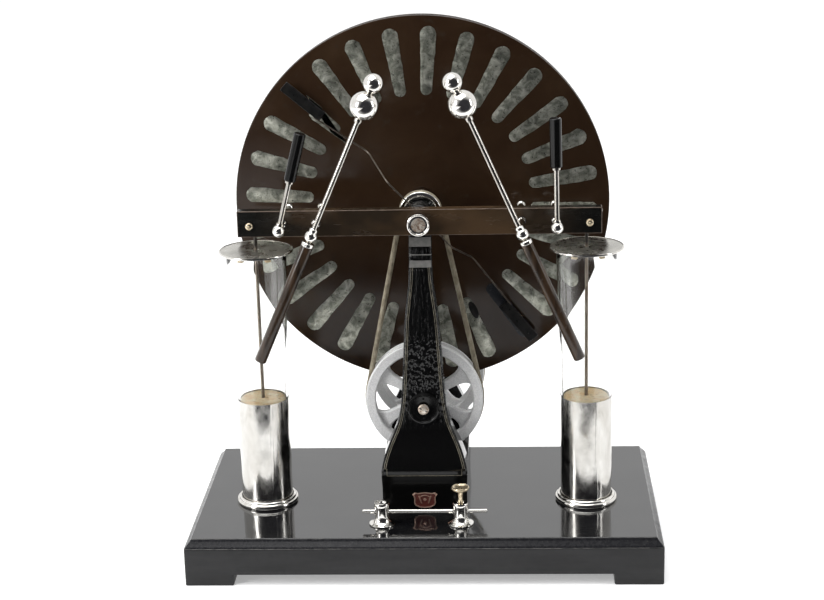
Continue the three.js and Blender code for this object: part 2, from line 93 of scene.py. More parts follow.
LEVER_Y = -96
TERMINAL_Y = middle("right_terminal_post").y
TERMINAL_X = {side: middle(f"{side}_terminal_post").x for side in ("left", "right")}
TERMINAL_TOP = ends("right_terminal_post")[1][2]
TERMINAL_ROD_Z = middle("terminal_rod").z
CRANK_PIN_Z = middle("crank_grip").z
BELT_OUT = 36
BELT_RADIUS = 2.2
WHEEL_BELT_RADIUS = 47
PULLEY_BELT_RADIUS = 15.3


# ---------------------------------------------------------------- materials

class Look:
    """A procedural material, built up from textures in the object's own coordinates."""

    def __init__(self, name):
        self.material = bpy.data.materials.new(name)
        self.material.use_nodes = True
        self.tree = self.material.node_tree
        self.shader = self.tree.nodes["Principled BSDF"]
        self.coordinates = self.node("TexCoord").outputs["Object"]
        self.normal = None

    def feed(self, socket, value):
        if isinstance(value, bpy.types.NodeSocket):
            self.tree.links.new(value, socket)
        else:
            socket.default_value = value

    def node(self, kind, **inputs):
        node = self.tree.nodes.new("ShaderNode" + kind)
        for name, value in inputs.items():
            self.feed(node.inputs[name], value)
        return node

    def set(self, **sockets):
        """Sets the shader's sockets, with _ for a space in their names."""
        for name, value in sockets.items():
            self.feed(self.shader.inputs[name.replace("_", " ")], value)

    def stretched(self, stretch):
        return self.node("Mapping", Vector=self.coordinates, Scale=stretch).outputs["Vector"]

    def noise(self, size, detail=4.0, stretch=(1, 1, 1), distortion=0.0, rough=0.55):
        """Noise whose features are about this many millimetres across."""
        node = self.node("TexNoise", Vector=self.stretched(stretch), Scale=1 / (size * MM), Detail=detail,
                         Roughness=rough, Distortion=distortion)
        return node.outputs["Fac"]

    def cells(self, size, stretch=(1, 1, 1), feature="F1"):
        node = self.node("TexVoronoi", Vector=self.stretched(stretch), Scale=1 / (size * MM))
        node.feature = feature
        return node.outputs["Distance"]

    def part(self, axis):
        """One coordinate, in metres."""
        return self.node("SeparateXYZ", Vector=self.coordinates).outputs[axis]

    def size_of(self, value):
        node = self.node("Math")
        node.operation = "ABSOLUTE"
        self.feed(node.inputs[0], value)
        return node.outputs[0]

    def ramp(self, factor, *stops):
        """Stops are (position, grey value or colour)."""
        node = self.node("ValToRGB", Fac=factor)
        elements = node.color_ramp.elements
        while len(elements) < len(stops):
            elements.new(0.5)
        for element, (position, value) in zip(elements, stops):
            color = value if isinstance(value, tuple) else (value, value, value)
            element.position = position
            element.color = (*color, 1)
        return node.outputs["Color"]

    def mix(self, factor, first, second):
        node = self.node("Mix")
        node.data_type = "RGBA"
        self.feed(node.inputs["Factor"], factor)
        for name, value in (("A", first), ("B", second)):
            target = next(s for s in node.inputs if s.name == name and s.type == "RGBA")
            self.feed(target, (*value, 1) if isinstance(value, tuple) else value)
        return next(s for s in node.outputs if s.type == "RGBA")

    def color(self, factor, *stops):
        self.set(Base_Color=self.ramp(factor, *stops))

    def mixed(self, factor, first, second):
        self.set(Base_Color=self.mix(factor, first, second))

    def rough(self, factor, *stops):
        self.set(Roughness=self.ramp(factor, *stops))

    def bump(self, height, strength, depth):
        """Relief of about this depth in millimetres, on top of what is there already."""
        node = self.node("Bump", Strength=strength, Distance=depth * MM, Height=height)
        if self.normal:
            self.feed(node.inputs["Normal"], self.normal)
        self.normal = node.outputs["Normal"]
        self.set(Normal=self.normal)


def lacquer_top(look):
    look.set(IOR=1.95)
    look.rough(look.noise(22, 5, (0.3, 1, 1)), (0.35, 0.04), (0.7, 0.13))
    look.color(look.noise(35, 4), (0.4, (0.005, 0.005, 0.006)), (0.75, (0.014, 0.014, 0.014)))
    look.bump(look.noise(6, 5, (0.06, 1, 1)), 0.06, 0.25)
    look.bump(look.noise(1.2, 2), 0.03, 0.1)


def lacquer_side(look):
    look.set(IOR=1.4)
    dust = look.noise(14, 6, (0.25, 1, 1.5))
    look.color(dust, (0.3, (0.006, 0.006, 0.0065)), (0.75, (0.016, 0.016, 0.017)))
    look.rough(look.noise(5, 5), (0.3, 0.33), (0.7, 0.5))
    look.bump(look.noise(1.5, 4), 0.25, 0.12)


def lacquer_edge(look):
    look.set(IOR=1.3)
    specks = look.ramp(look.noise(0.8, 5), (0.6, 0.0), (0.7, 1.0))
    look.mixed(specks, (0.011, 0.011, 0.013), (0.045, 0.044, 0.042))
    look.rough(look.noise(3, 4), (0.3, 0.16), (0.7, 0.4))
    look.bump(look.noise(1.6, 5), 0.3, 0.15)


# Wear and a painted highlight: the edge lines are lighter grey than the lacquer all along, as edges catching
# the light, with lighter worn chips.
def worn_edge_and_highlight(look):
    look.set(Roughness=0.4)
    wear_and_sheen = look.ramp(look.noise(2.2, 6, (0.4, 1, 1)), (0.42, 0.0), (0.6, 1.0))
    look.mixed(wear_and_sheen, (0.05, 0.05, 0.05), (0.15, 0.146, 0.138))
    look.bump(look.noise(1.4, 5), 0.4, 0.2)


def japan_black(look):
    """Crackled in a band half way up, streaked above it, and calm at the foot."""
    look.set(Base_Color=(0.003, 0.003, 0.003, 1), IOR=1.38)
    crackle = look.ramp(look.cells(2.3, (1, 0.7, 0.7), "SMOOTH_F1"), (0.1, 0.0), (0.6, 1.0))
    streaks = look.noise(2.2, 3, (1, 1, 0.14), 0.8)
    height = look.part("Z")
    band = look.ramp(height, (0.118, 0.0), (0.134, 1.0), (0.17, 1.0), (0.188, 0.0))
    above_foot = look.ramp(height, (0.103, 0.0), (0.112, 1.0))
    look.bump(look.mix(above_foot, (0.5, 0.5, 0.5), look.mix(band, streaks, crackle)), 0.85, 1.1)
    look.bump(look.noise(6, 3, (1, 1, 0.5), 1.4), 0.12, 0.6)
    look.rough(look.noise(3, 4), (0.35, 0.05), (0.7, 0.16))
    look.bump(look.noise(0.8, 2), 0.08, 0.1)


def smooth_black(look):
    look.set(Base_Color=(0.004, 0.004, 0.004, 1), IOR=1.35)
    look.rough(look.noise(4, 4), (0.3, 0.04), (0.75, 0.1))
    look.bump(look.noise(6, 3), 0.05, 0.2)


def plinth_black(look):
    look.set(Base_Color=(0.003, 0.003, 0.003, 1), IOR=1.17)
    look.rough(look.noise(4, 4), (0.3, 0.08), (0.75, 0.16))
    look.bump(look.noise(6, 3), 0.05, 0.2)


def ebonite_plate(look):
    look.set(IOR=1.3)
    clouds = look.ramp(look.noise(55, 5, distortion=0.6), (0.3, (0.019, 0.0095, 0.005)),
                       (0.55, (0.026, 0.0142, 0.0075)), (0.8, (0.036, 0.021, 0.0115)))
    stains = look.ramp(look.noise(9, 6), (0.62, 0.0), (0.74, 1.0))
    look.mixed(stains, clouds, (0.026, 0.017, 0.011))
    look.rough(look.noise(16, 6), (0.3, 0.1), (0.75, 0.24))
    look.bump(look.noise(3, 5), 0.1, 0.1)
    look.bump(look.noise(0.6, 2), 0.1, 0.03)


def ebonite_bar(look):
    """Browned in the middle and black towards the ends."""
    look.set(IOR=1.5)
    blotches = look.ramp(look.noise(60, 4, (0.6, 1, 1)), (0.4, 0.0), (0.58, 1.0))
    browned = look.mix(blotches, (0.022, 0.015, 0.009), (0.062, 0.037, 0.019))
    blackened = look.ramp(look.size_of(look.part("X")), (0.075, 0.0), (0.13, 1.0))
    look.mixed(blackened, browned, (0.006, 0.006, 0.005))
    look.rough(look.noise(7, 5, (0.3, 1, 1)), (0.3, 0.14), (0.75, 0.33))
    look.bump(look.noise(2, 5, (0.3, 1, 1)), 0.1, 0.12)


def ebonite_edge(look):
    look.set(Roughness=0.4)
    look.color(look.noise(3, 5, (0.4, 1, 1)), (0.35, (0.05, 0.03, 0.02)), (0.7, (0.17, 0.12, 0.085)))
    look.bump(look.noise(1, 4), 0.3, 0.1)


def ebonite_handle(look):
    look.set(IOR=1.42)
    look.color(look.noise(7, 5, (1, 1, 0.12)), (0.35, (0.014, 0.009, 0.006)), (0.7, (0.066, 0.039, 0.022)))
    look.rough(look.noise(4, 4), (0.3, 0.14), (0.75, 0.3))
    look.bump(look.noise(1.5, 4, (1, 1, 0.3)), 0.12, 0.1)


def black_rubber(look):
    look.set(IOR=1.3)
    look.rough(look.noise(3, 5), (0.3, 0.25), (0.75, 0.5))
    look.color(look.noise(6, 5), (0.4, (0.004, 0.004, 0.004)), (0.8, (0.014, 0.013, 0.012)))
    look.bump(look.noise(1.2, 4), 0.2, 0.1)


def polished_nickel(look):
    look.set(Metallic=1.0)
    look.color(look.noise(3.5, 6, distortion=0.4), (0.3, (0.86, 0.845, 0.81)), (0.66, (0.74, 0.715, 0.67)),
               (0.85, (0.5, 0.45, 0.38)))
    look.rough(look.noise(2.2, 5), (0.35, 0.05), (0.8, 0.22))
    look.bump(look.noise(1.1, 4), 0.06, 0.06)


def rod_nickel(look):
    look.set(Metallic=1.0)
    look.color(look.noise(4, 5, (1, 1, 0.3)), (0.3, (0.62, 0.6, 0.56)), (0.75, (0.42, 0.39, 0.34)))
    look.rough(look.noise(3, 5), (0.35, 0.12), (0.8, 0.26))
    look.bump(look.noise(1.1, 4), 0.06, 0.06)


def mottled_nickel(look):
    look.set(Metallic=0.55)
    spots = look.noise(2.2, 6, distortion=0.8)
    look.color(spots, (0.38, (0.8, 0.74, 0.66)), (0.52, (0.5, 0.42, 0.34)), (0.64, (0.17, 0.1, 0.07)))
    look.rough(spots, (0.35, 0.15), (0.7, 0.5))
    look.bump(spots, 0.25, 0.2)


def brushed_nickel(look):
    look.set(Metallic=1.0)
    look.color(look.noise(14, 6, distortion=0.7), (0.3, (0.4, 0.39, 0.36)), (0.6, (0.56, 0.545, 0.5)),
               (0.85, (0.68, 0.66, 0.62)))
    look.rough(look.noise(6, 5), (0.3, 0.2), (0.75, 0.4))
    look.bump(look.noise(1.2, 5, (1, 0.12, 1)), 0.15, 0.08)


def old_brass(look):
    look.set(Metallic=1.0)
    tarnish = look.noise(2.5, 6)
    look.color(tarnish, (0.35, (0.72, 0.63, 0.46)), (0.75, (0.32, 0.24, 0.15)))
    look.rough(tarnish, (0.3, 0.16), (0.75, 0.45))
    look.bump(look.noise(0.8, 4), 0.15, 0.08)


def aged_steel(look):
    look.set(Metallic=1.0, Roughness=0.35)
    rust = look.noise(2.5, 6, (1, 1, 0.5))
    look.color(rust, (0.3, (0.15, 0.135, 0.115)), (0.7, (0.07, 0.055, 0.042)))
    look.bump(rust, 0.2, 0.1)


def stem_steel(look):
    """Lighter inside the jar, and dark above its lid."""
    look.set(Metallic=0.6, Roughness=0.38)
    inside_tone = look.ramp(look.noise(5, 6, (1, 1, 0.3)), (0.3, (0.42, 0.37, 0.31)), (0.7, (0.2, 0.15, 0.11)))
    above_lid = look.ramp(look.part("Z"), (0.253, 0.0), (0.256, 1.0))
    look.mixed(above_lid, inside_tone, (0.045, 0.04, 0.035))
    look.bump(look.noise(1.5, 4), 0.15, 0.1)


def jar_foil(look):
    look.set(Metallic=1.0)
    look.color(look.noise(11, 7, (1, 1, 0.4), 0.5), (0.34, (0.6, 0.59, 0.565)), (0.64, (0.48, 0.465, 0.435)),
               (0.76, (0.34, 0.32, 0.285)), (0.84, (0.16, 0.15, 0.13)))
    look.rough(look.noise(7, 5), (0.3, 0.1), (0.75, 0.28))
    look.bump(look.noise(16, 3, (1, 1, 0.22), 0.6), 0.3, 1.0)
    look.bump(look.noise(3.5, 4, (1, 1, 0.3), 1.0), 0.16, 0.22)


def sector_foil(look):
    look.set(Metallic=0.85)
    blotches = look.ramp(look.noise(8, 7, distortion=0.6, rough=0.65), (0.3, (0.08, 0.083, 0.068)),
                         (0.45, (0.24, 0.248, 0.207)), (0.56, (0.44, 0.445, 0.38)), (0.7, (0.68, 0.68, 0.6)))
    specks = look.ramp(look.noise(1.3, 6), (0.6, 0.0), (0.72, 1.0))
    look.mixed(specks, blotches, (0.11, 0.1, 0.075))
    look.rough(look.noise(3, 5), (0.3, 0.24), (0.75, 0.5))
    look.bump(look.noise(2.2, 6, distortion=1.0), 0.6, 0.4)


def grey_enamel(look):
    look.set(Metallic=0.1)
    look.color(look.noise(0.7, 3), (0.3, (0.66, 0.66, 0.66)), (0.7, (0.92, 0.92, 0.915)))
    look.rough(look.noise(5, 5), (0.3, 0.28), (0.75, 0.46))
    look.bump(look.noise(1.5, 4), 0.25, 0.12)


def belt_leather(look):
    look.set(Roughness=0.7)
    look.color(look.noise(3, 6, (1, 1, 0.5)), (0.3, (0.14, 0.115, 0.075)), (0.55, (0.27, 0.235, 0.165)),
               (0.8, (0.42, 0.38, 0.29)))
    look.bump(look.noise(0.7, 5), 0.5, 0.25)


def jar_glass(look):
    look.set(Base_Color=(0.985, 0.99, 0.98, 1), Roughness=0.0, IOR=1.47, Transmission_Weight=1.0)
    look.bump(look.noise(40, 2, (1, 1, 0.3)), 0.03, 0.4)


def cork(look):
    look.set(Roughness=0.85)
    base = look.ramp(look.noise(6, 5), (0.35, (0.95, 0.68, 0.36)), (0.65, (1.0, 0.86, 0.6)))
    pores = look.ramp(look.noise(2.4, 6, rough=0.7), (0.58, 0.0), (0.68, 1.0))
    look.mixed(pores, base, (0.5, 0.26, 0.1))
    look.bump(look.cells(1.9), 0.4, 0.35)
    look.bump(look.noise(0.8, 5), 0.5, 0.3)


def gilt_line(look):
    look.set(Metallic=0.3, Roughness=0.45)
    look.color(look.noise(4, 6), (0.35, (0.3, 0.27, 0.2)), (0.7, (0.09, 0.08, 0.06)))
    look.bump(look.noise(0.6, 3), 0.2, 0.05)


def neck_grey(look):
    look.set(Roughness=0.4)
    look.color(look.noise(3, 5), (0.3, (0.17, 0.17, 0.163)), (0.75, (0.27, 0.263, 0.25)))
    look.bump(look.noise(1.2, 4), 0.2, 0.1)


def dark_varnish(look):
    look.set(Roughness=0.3, IOR=1.5)
    crazed = look.ramp(look.noise(1.5, 6), (0.58, 0.0), (0.72, 1.0))
    look.mixed(crazed, (0.005, 0.006, 0.009), (0.06, 0.06, 0.055))
    look.bump(look.noise(1.5, 6), 0.5, 0.2)


def badge_red(look):
    look.set(Roughness=0.3)
    look.color(look.noise(1.5, 5), (0.3, (0.06, 0.014, 0.011)), (0.75, (0.14, 0.036, 0.027)))
    look.bump(look.noise(0.6, 4), 0.3, 0.08)


def badge_copper(look):
    look.set(Metallic=0.9, Roughness=0.3)
    look.color(look.noise(1, 5), (0.3, (0.6, 0.36, 0.27)), (0.7, (0.92, 0.68, 0.55)))
    look.bump(look.noise(0.5, 3), 0.2, 0.05)


# Painted shade: a dark colour that stands for the shade inside a slot or hole.
def recess_shade(look):
    look.set(Roughness=0.6)
    look.color(look.noise(1, 3), (0.3, (0.006, 0.006, 0.006)), (0.8, (0.03, 0.027, 0.022)))


# The looks, listed under the slot that each one stands for.
SLOT_LOOKS = {
    "black_lacquer": (lacquer_top, lacquer_side, lacquer_edge, worn_edge_and_highlight),
    "japanned_iron": (japan_black, smooth_black, plinth_black, gilt_line, neck_grey),
    "brown_ebonite": (ebonite_plate, ebonite_bar, ebonite_edge, ebonite_handle, dark_varnish),
    "black_ebonite": (black_rubber,),
    "nickel_plate": (polished_nickel, rod_nickel, mottled_nickel, brushed_nickel, aged_steel, stem_steel,
                     recess_shade),
    "brass": (old_brass,),
    "tin_foil": (jar_foil, sector_foil),
    "grey_enamel": (grey_enamel,),
    "belt_cord": (belt_leather,),
    "jar_glass": (jar_glass,),
    "cork": (cork,),
    "badge_enamel": (badge_red, badge_copper),
}
LOOKS = {}
for slot_name, makers in SLOT_LOOKS.items():
    for maker in makers:
        LOOKS[maker.__name__] = Look(maker.__name__)
        maker(LOOKS[maker.__name__])


# ---------------------------------------------------------------- mesh making
# A shape is (corners, faces) in millimetres. Several shapes make one piece.

def basis(axis):
    """Two directions square to the axis, and the axis itself."""
    along = Vector(axis).normalized()
    helper = Vector(UP) if abs(along.z) < 0.9 else Vector((1, 0, 0))
    across = helper.cross(along).normalized()
    return across, along.cross(across), along


def lathe(profile, origin=(0, 0, 0), axis=UP, segments=64, closed=False):
    """A turned shape. The profile is (radius, distance along the axis), and closed joins its ends."""
    across, up, along = basis(axis)
    start = Vector(origin)
    corners = []
    rings = []
    for radius, distance in profile:
        count = 1 if radius < 1e-6 else segments
        rings.append(list(range(len(corners), len(corners) + count)))
        for step in range(count):
            angle = 2 * math.pi * step / segments
            outward = across * math.cos(angle) + up * math.sin(angle)
            corners.append(start + along * distance + outward * radius)
    if closed:
        rings.append(rings[0])
    faces = []
    for lower, upper in zip(rings, rings[1:]):
        for step in range(segments):
            after = (step + 1) % segments
            loop = [lower[step % len(lower)], lower[after % len(lower)],
                    upper[after % len(upper)], upper[step % len(upper)]]
            face = list(dict.fromkeys(loop))
            if len(face) > 2:
                faces.append(face)
    return corners, faces


def forward_lathe(profile, height, segments, base=0.0, closed=True):
    """A shape turned about a level line through the middle, its distances counted forwards from base."""
    return lathe([(radius, base + out) for radius, out in profile], (0, 0, height), FRONT, segments, closed)


def rod(radius, start, end, segments=32, rounding=0.3):
    """A straight round bar with eased ends."""
    start = Vector(start)
    end = Vector(end)
    length = (end - start).length
    profile = [(0, 0), (radius - rounding, 0), (radius, rounding), (radius, length - rounding),
               (radius - rounding, length), (0, length)]
    return lathe(profile, start, end - start, segments)


def ball(radius, centre, segments=48):
    rows = segments // 2
    profile = [(radius * math.sin(math.pi * row / rows), -radius * math.cos(math.pi * row / rows))
               for row in range(rows + 1)]
    return lathe(profile, centre, UP, segments)


def block(low, high):
    x0, y0, z0 = low
    x1, y1, z1 = high
    return loft([[(x0, y0, z), (x1, y0, z), (x1, y1, z), (x0, y1, z)] for z in (z0, z1)])


def loft(rings, closed=False):
    """A shape through rings of the same number of corners, capped at both ends unless closed."""
    count = len(rings[0])
    corners = [Vector(point) for ring in rings for point in ring]
    faces = []
    pairs = len(rings) if closed else len(rings) - 1
    for level in range(pairs):
        lower = level * count
        upper = ((level + 1) % len(rings)) * count
        for step in range(count):
            after = (step + 1) % count
            faces.append([lower + step, lower + after, upper + after, upper + step])
    if not closed:
        faces.append(list(range(count))[::-1])
        faces.append([(len(rings) - 1) * count + step for step in range(count)])
    return corners, faces


def tube(points, radius, sides=12, closed=False):
    """A round bar along points."""
    points = [Vector(point) for point in points]
    count = len(points)
    tangents = []
    for index in range(count):
        before = points[index - 1] if index or closed else points[0]
        after = points[(index + 1) % count] if index < count - 1 or closed else points[-1]
        tangents.append((after - before).normalized())
    across = basis(tangents[0])[0]
    rings = []
    for point, tangent in zip(points, tangents):
        across = (across - tangent * across.dot(tangent)).normalized()
        up = tangent.cross(across)
        turns = [2 * math.pi * side / sides for side in range(sides)]
        rings.append([point + across * radius * math.cos(turn) + up * radius * math.sin(turn)
                      for turn in turns])
    return loft(rings, closed)


def turned_by(shape, degrees, axis, centre):
    """The same shape, turned about an axis through a point."""
    turn = Matrix.Rotation(math.radians(degrees), 3, Vector(axis))
    pivot = Vector(centre)
    corners, faces = shape
    return [turn @ (Vector(point) - pivot) + pivot for point in corners], faces


def moved(shape, offset):
    corners, faces = shape
    return [Vector(point) + Vector(offset) for point in corners], faces


def as_is(shape):
    return shape


def half_turn(shape):
    """The same shape on the other side of the plane between the plates."""
    corners, faces = shape
    return [Vector((-point[0], -point[1], point[2])) for point in corners], faces


def piece(name, shapes, look, body="stand", replaces=None, bevel=0.0, edge_look=None, sharp=34,
          place=as_is):
    """A finished piece: one mesh of these shapes, on a body, standing for a CAD node if it replaces one."""
    corners = []
    faces = []
    for shape_corners, shape_faces in map(place, shapes):
        first = len(corners)
        corners += [tuple(Vector(point) * MM) for point in shape_corners]
        faces += [[index + first for index in face] for face in shape_faces]
    mesh = bpy.data.meshes.new(name)
    mesh.from_pydata(corners, [], faces)
    mesh.validate()
    make_normals_outward(mesh)
    mesh.shade_smooth()
    mesh.set_sharp_from_angle(angle=math.radians(sharp))
    thing = bpy.data.objects.new(name, mesh)
    bpy.context.scene.collection.objects.link(thing)
    mesh.materials.append(LOOKS[look].material)
    if edge_look:
        mesh.materials.append(LOOKS[edge_look].material)
    if bevel:
        rounding = thing.modifiers.new("rounding", "BEVEL")
        rounding.width = bevel * MM
        rounding.segments = 2
        rounding.limit_method = "ANGLE"
        rounding.angle_limit = math.radians(sharp)
        rounding.harden_normals = True
        if edge_look:
            rounding.material = 1
    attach(thing, body)
    if replaces:
        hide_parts(replaces)


def make_normals_outward(mesh):
    work = bmesh.new()
    work.from_mesh(mesh)
    bmesh.ops.recalc_face_normals(work, faces=work.faces)
    work.to_mesh(mesh)
    work.free()


def arc(centre, radius, start, end, steps):
    """Points (a, b) on an arc, its angles in degrees."""
    return [(centre[0] + radius * math.cos(math.radians(start + (end - start) * step / steps)),
             centre[1] + radius * math.sin(math.radians(start + (end - start) * step / steps)))
            for step in range(steps + 1)]


def softened(points, radius, steps=6):
    """The same route with its corners rounded."""
    points = [Vector(point) for point in points]
    route = [points[0]]
    for before, corner, after in zip(points, points[1:], points[2:]):
        start = corner + (before - corner).normalized() * radius
        end = corner + (after - corner).normalized() * radius
        for step in range(steps + 1):
            share = step / steps
            route.append(start * (1 - share) ** 2 + corner * 2 * share * (1 - share) + end * share ** 2)
    return route + [points[-1]]


# ---------------------------------------------------------------- base

CORNER_EASE = 1.6
BASE_SIDE_TOP = BASE_TOP - 7


def eased_ring(low, high, z, inset, ease=CORNER_EASE):
    """A rectangle at a height, its corners rounded."""
    ease = max(ease - inset, 0.3)
    x0, y0, x1, y1 = low[0] + inset, low[1] + inset, high[0] - inset, high[1] - inset
    ring = []
    for x, y, start in ((x1 - ease, y0 + ease, -90), (x1 - ease, y1 - ease, 0), (x0 + ease, y1 - ease, 90),
                        (x0 + ease, y0 + ease, 180)):
        ring += [(a, b, z) for a, b in arc((x, y), ease, start, start + 90, 4)]
    return ring


def base_loft(*levels):
    """A slab of the base, its levels given as (height, inset)."""
    return loft([eased_ring(BASE_LOW, BASE_HIGH, z, inset) for z, inset in levels])


def make_base():
    piece("base_sides", [base_loft((BASE_LOW[2], 0), (BASE_SIDE_TOP - 0.6, 0))], "lacquer_side")
    moulding = base_loft((BASE_SIDE_TOP - 0.8, 0.5), (BASE_SIDE_TOP - 0.2, 0.2), (BASE_SIDE_TOP + 0.2, 0.3),
                         (BASE_SIDE_TOP + 1.6, 1.5), (BASE_TOP - 2.6, 4.2), (BASE_TOP - 1.9, 4.7),
                         (BASE_TOP - 1.5, 4.9), (BASE_TOP - 0.5, 5.6))
    piece("base_moulding", [moulding], "lacquer_edge", sharp=50)
    # Thin lighter lines along the moulding's two edges: wear, and a painted highlight where the edges catch
    # the light.
    for number, (z, inset) in enumerate(((BASE_SIDE_TOP - 0.1, 0.1), (BASE_TOP - 0.7, 5.45))):
        line = base_loft((z - 0.25, inset + 0.2), (z, inset), (z + 0.25, inset + 0.2))
        piece(f"base_edge_{number}", [line], "worn_edge_and_highlight")
    piece("base_top", [base_loft((BASE_TOP - 1.2, 5.7), (BASE_TOP, 5.7))], "lacquer_top",
          replaces="base_board", bevel=0.3)
    for corner in ("front_left", "front_right", "rear_left", "rear_right"):
        node = f"foot_{corner}"
        low, high = ends(node)
        levels = ((low[2], 0.8), (low[2] + 0.25, 0.25), (low[2] + 0.8, 0), (high[2], 0))
        foot = loft([eased_ring(low, high, z, inset) for z, inset in levels])
        piece(f"{node}_block", [foot], "lacquer_side", replaces=node)


# ---------------------------------------------------------------- frame

# Height, half width, and how far the foot spreads outwards there, as a share of the whole flare.
COLUMN_OUTLINE = [
    (70.0, 35.0, 1.0), (73, 34.9, 1.0), (76, 34.4, 0.97), (79.5, 33.7, 0.89), (83, 32.6, 0.78),
    (86.5, 31.4, 0.63), (90, 30.0, 0.48), (93.5, 28.5, 0.34), (97, 26.8, 0.22), (100.5, 25.1, 0.13),
    (104, 23.6, 0.07), (110, 21.4, 0.02), (115, 20.2, 0), (120, 19.2, 0), (126, 18.4, 0), (132, 17.7, 0),
    (150, 16.4, 0), (176, 15.0, 0), (198, 13.6, 0), (206, 12.7, 0), (214, 11.8, 0), (222, 10.7, 0),
    (231, 9.7, 0), (238, 9.4, 0), (241, 9.3, 0),
]
# Height, half width and recess.
COLUMN_NECK = [(246.5, 9.2, 2.4), (250.7, 9.1, 2.5), (251, 9.1, 2.2), (251.3, 9.1, 2.5), (257.5, 9.1, 2.6),
               (265, 9.0, 4.8), (269, 9.0, 4.8), (275, 8.8, 4.8)]
# The height and recess of each band's lower and upper edges.
NECK_BANDS = [((241.2, 0.05), (246.3, 2.35)), ((250.6, 2.4), (251.4, 2.4)), ((257.7, 2.65), (264.8, 4.75))]
FRONT_FLARE = 14
REAR_FLARE = 2
GILT_RADIUS = 0.18
GILT_INSETS = (1.9, 3.2)
GILT_HEIGHTS = [75 + step * 4.15 for step in range(41)]


def column_at(height, flare):
    """Half width and outer face of a column at a height."""
    for lower, upper in zip(COLUMN_OUTLINE, COLUMN_OUTLINE[1:]):
        if lower[0] <= height <= upper[0]:
            share = (height - lower[0]) / (upper[0] - lower[0])
            width = lower[1] + (upper[1] - lower[1]) * share
            spread = lower[2] + (upper[2] - lower[2]) * share
            return width, COLUMN_OUT + spread * flare
    return COLUMN_OUTLINE[-1][1], COLUMN_OUT


def column_section(height, width, out):
    """A section with a slightly crowned face and eased front corners."""
    ease = min(1.6, width * 0.16)
    crown = 0.5
    half = [(width - ease, -out + crown), (width * 0.55, -out + crown * 0.3), (0, -out)]
    right = [(width, -COLUMN_IN), (width, -out + ease + crown)] + half
    left = [(-x, y) for x, y in reversed(right[:-1])]
    return [(x, y, height) for x, y in right + left]


def neck_band(edges):
    rings = []
    for skin in (-0.4, 0.12):
        (low, low_recess), (high, high_recess) = edges
        rings.append([(x, -COLUMN_OUT + recess - skin, z) for x, recess, z in
                      ((-8.7, low_recess, low), (8.7, low_recess, low), (8.6, high_recess, high),
                       (-8.6, high_recess, high))])
    return loft(rings)


def gilt_line(sign, inset, flare):
    route = []
    for height in GILT_HEIGHTS:
        width, out = column_at(height, flare)
        route.append((sign * (width - inset), -out - 0.1 + 0.45 * (1 - inset / width), height))
    return tube(route, GILT_RADIUS, 6)


def make_column(side, flare, place):
    sections = [column_section(z, x, COLUMN_OUT + spread * flare) for z, x, spread in COLUMN_OUTLINE]
    sections += [column_section(z, x, COLUMN_OUT - recess) for z, x, recess in COLUMN_NECK]
    head = forward_lathe([(0, COLUMN_IN), (10.6, COLUMN_IN), (11.5, COLUMN_IN + 0.9),
                          (11.5, COLUMN_OUT - 0.9), (10.6, COLUMN_OUT), (0, COLUMN_OUT)], SPINDLE_Z, 56,
                         closed=False)
    boss = forward_lathe([(7.5, 43), (7.5, COLUMN_IN + 1), (0, COLUMN_IN + 1), (0, 43.2), (7.1, 43.2)],
                         SPINDLE_Z, 40)
    piece(f"{side}_column_casting", [loft(sections), head, boss], "japan_black",
          replaces=f"{side}_column", bevel=0.5, place=place)
    piece(f"{side}_column_bands", map(neck_band, NECK_BANDS), "neck_grey", bevel=0.1, place=place)
    lines = [gilt_line(sign, inset, flare) for sign in (-1, 1) for inset in GILT_INSETS]
    piece(f"{side}_column_lines", lines, "gilt_line", place=place)


def make_bearing_cap(side, place):
    ring = forward_lathe([(3.4, COLUMN_OUT), (13.2, COLUMN_OUT), (13.2, 65.2), (12.7, 66.1), (11.7, 66.2),
                          (10.9, 65.6), (10.5, 64.8), (3.4, 64.5)], AXLE_Z, 56)
    screws = [rod(0.9, (0, -65, AXLE_Z + rise), (0, -64.2, AXLE_Z + rise), 16, 0.2) for rise in (8.2, -8.2)]
    piece(f"{side}_bearing_disc", [ring] + screws, "smooth_black", replaces=f"{side}_bearing_cap",
          bevel=0.15, place=place)


def make_plinth():
    x = PLINTH_HIGH[0]
    front, back = PLINTH_LOW[1], PLINTH_HIGH[1]
    rings = []
    for z, inset in ((BASE_TOP, 0), (BASE_TOP + 9, 0.5), (BASE_TOP + 20, 0.5), (PLINTH_HIGH[2], 0)):
        rings.append([(-x + inset, front + inset, z), (x - inset, front + inset, z),
                      (x - inset, back - inset, z), (-x + inset, back - inset, z)])
    piece("plinth_casting", [loft(rings)], "plinth_black", replaces="plinth", bevel=0.9)
    line_x, line_y, line_z = x - 4.6, front - 0.02, PLINTH_HIGH[2] - 0.6
    lines = [tube([(-line_x, line_y, line_z), (0, line_y, line_z), (line_x, line_y, line_z)],
                  GILT_RADIUS, 6)]
    for end in (-line_x, line_x):
        lines.append(tube([(end, line_y, line_z), (end, line_y, line_z + 6)], GILT_RADIUS, 6))
    piece("plinth_lines", lines, "gilt_line")


# The right half of a shield seen from in front, as (x, z) points about its middle.
SHIELD = [(0, -7), (4.6, -6.5), (7.9, -4.9), (9, -2.6), (8.7, 0.6), (9, 2.9), (10.2, 4.9), (8.4, 6.6),
          (6, 5.9), (3.2, 6.4), (0, 6.8)]


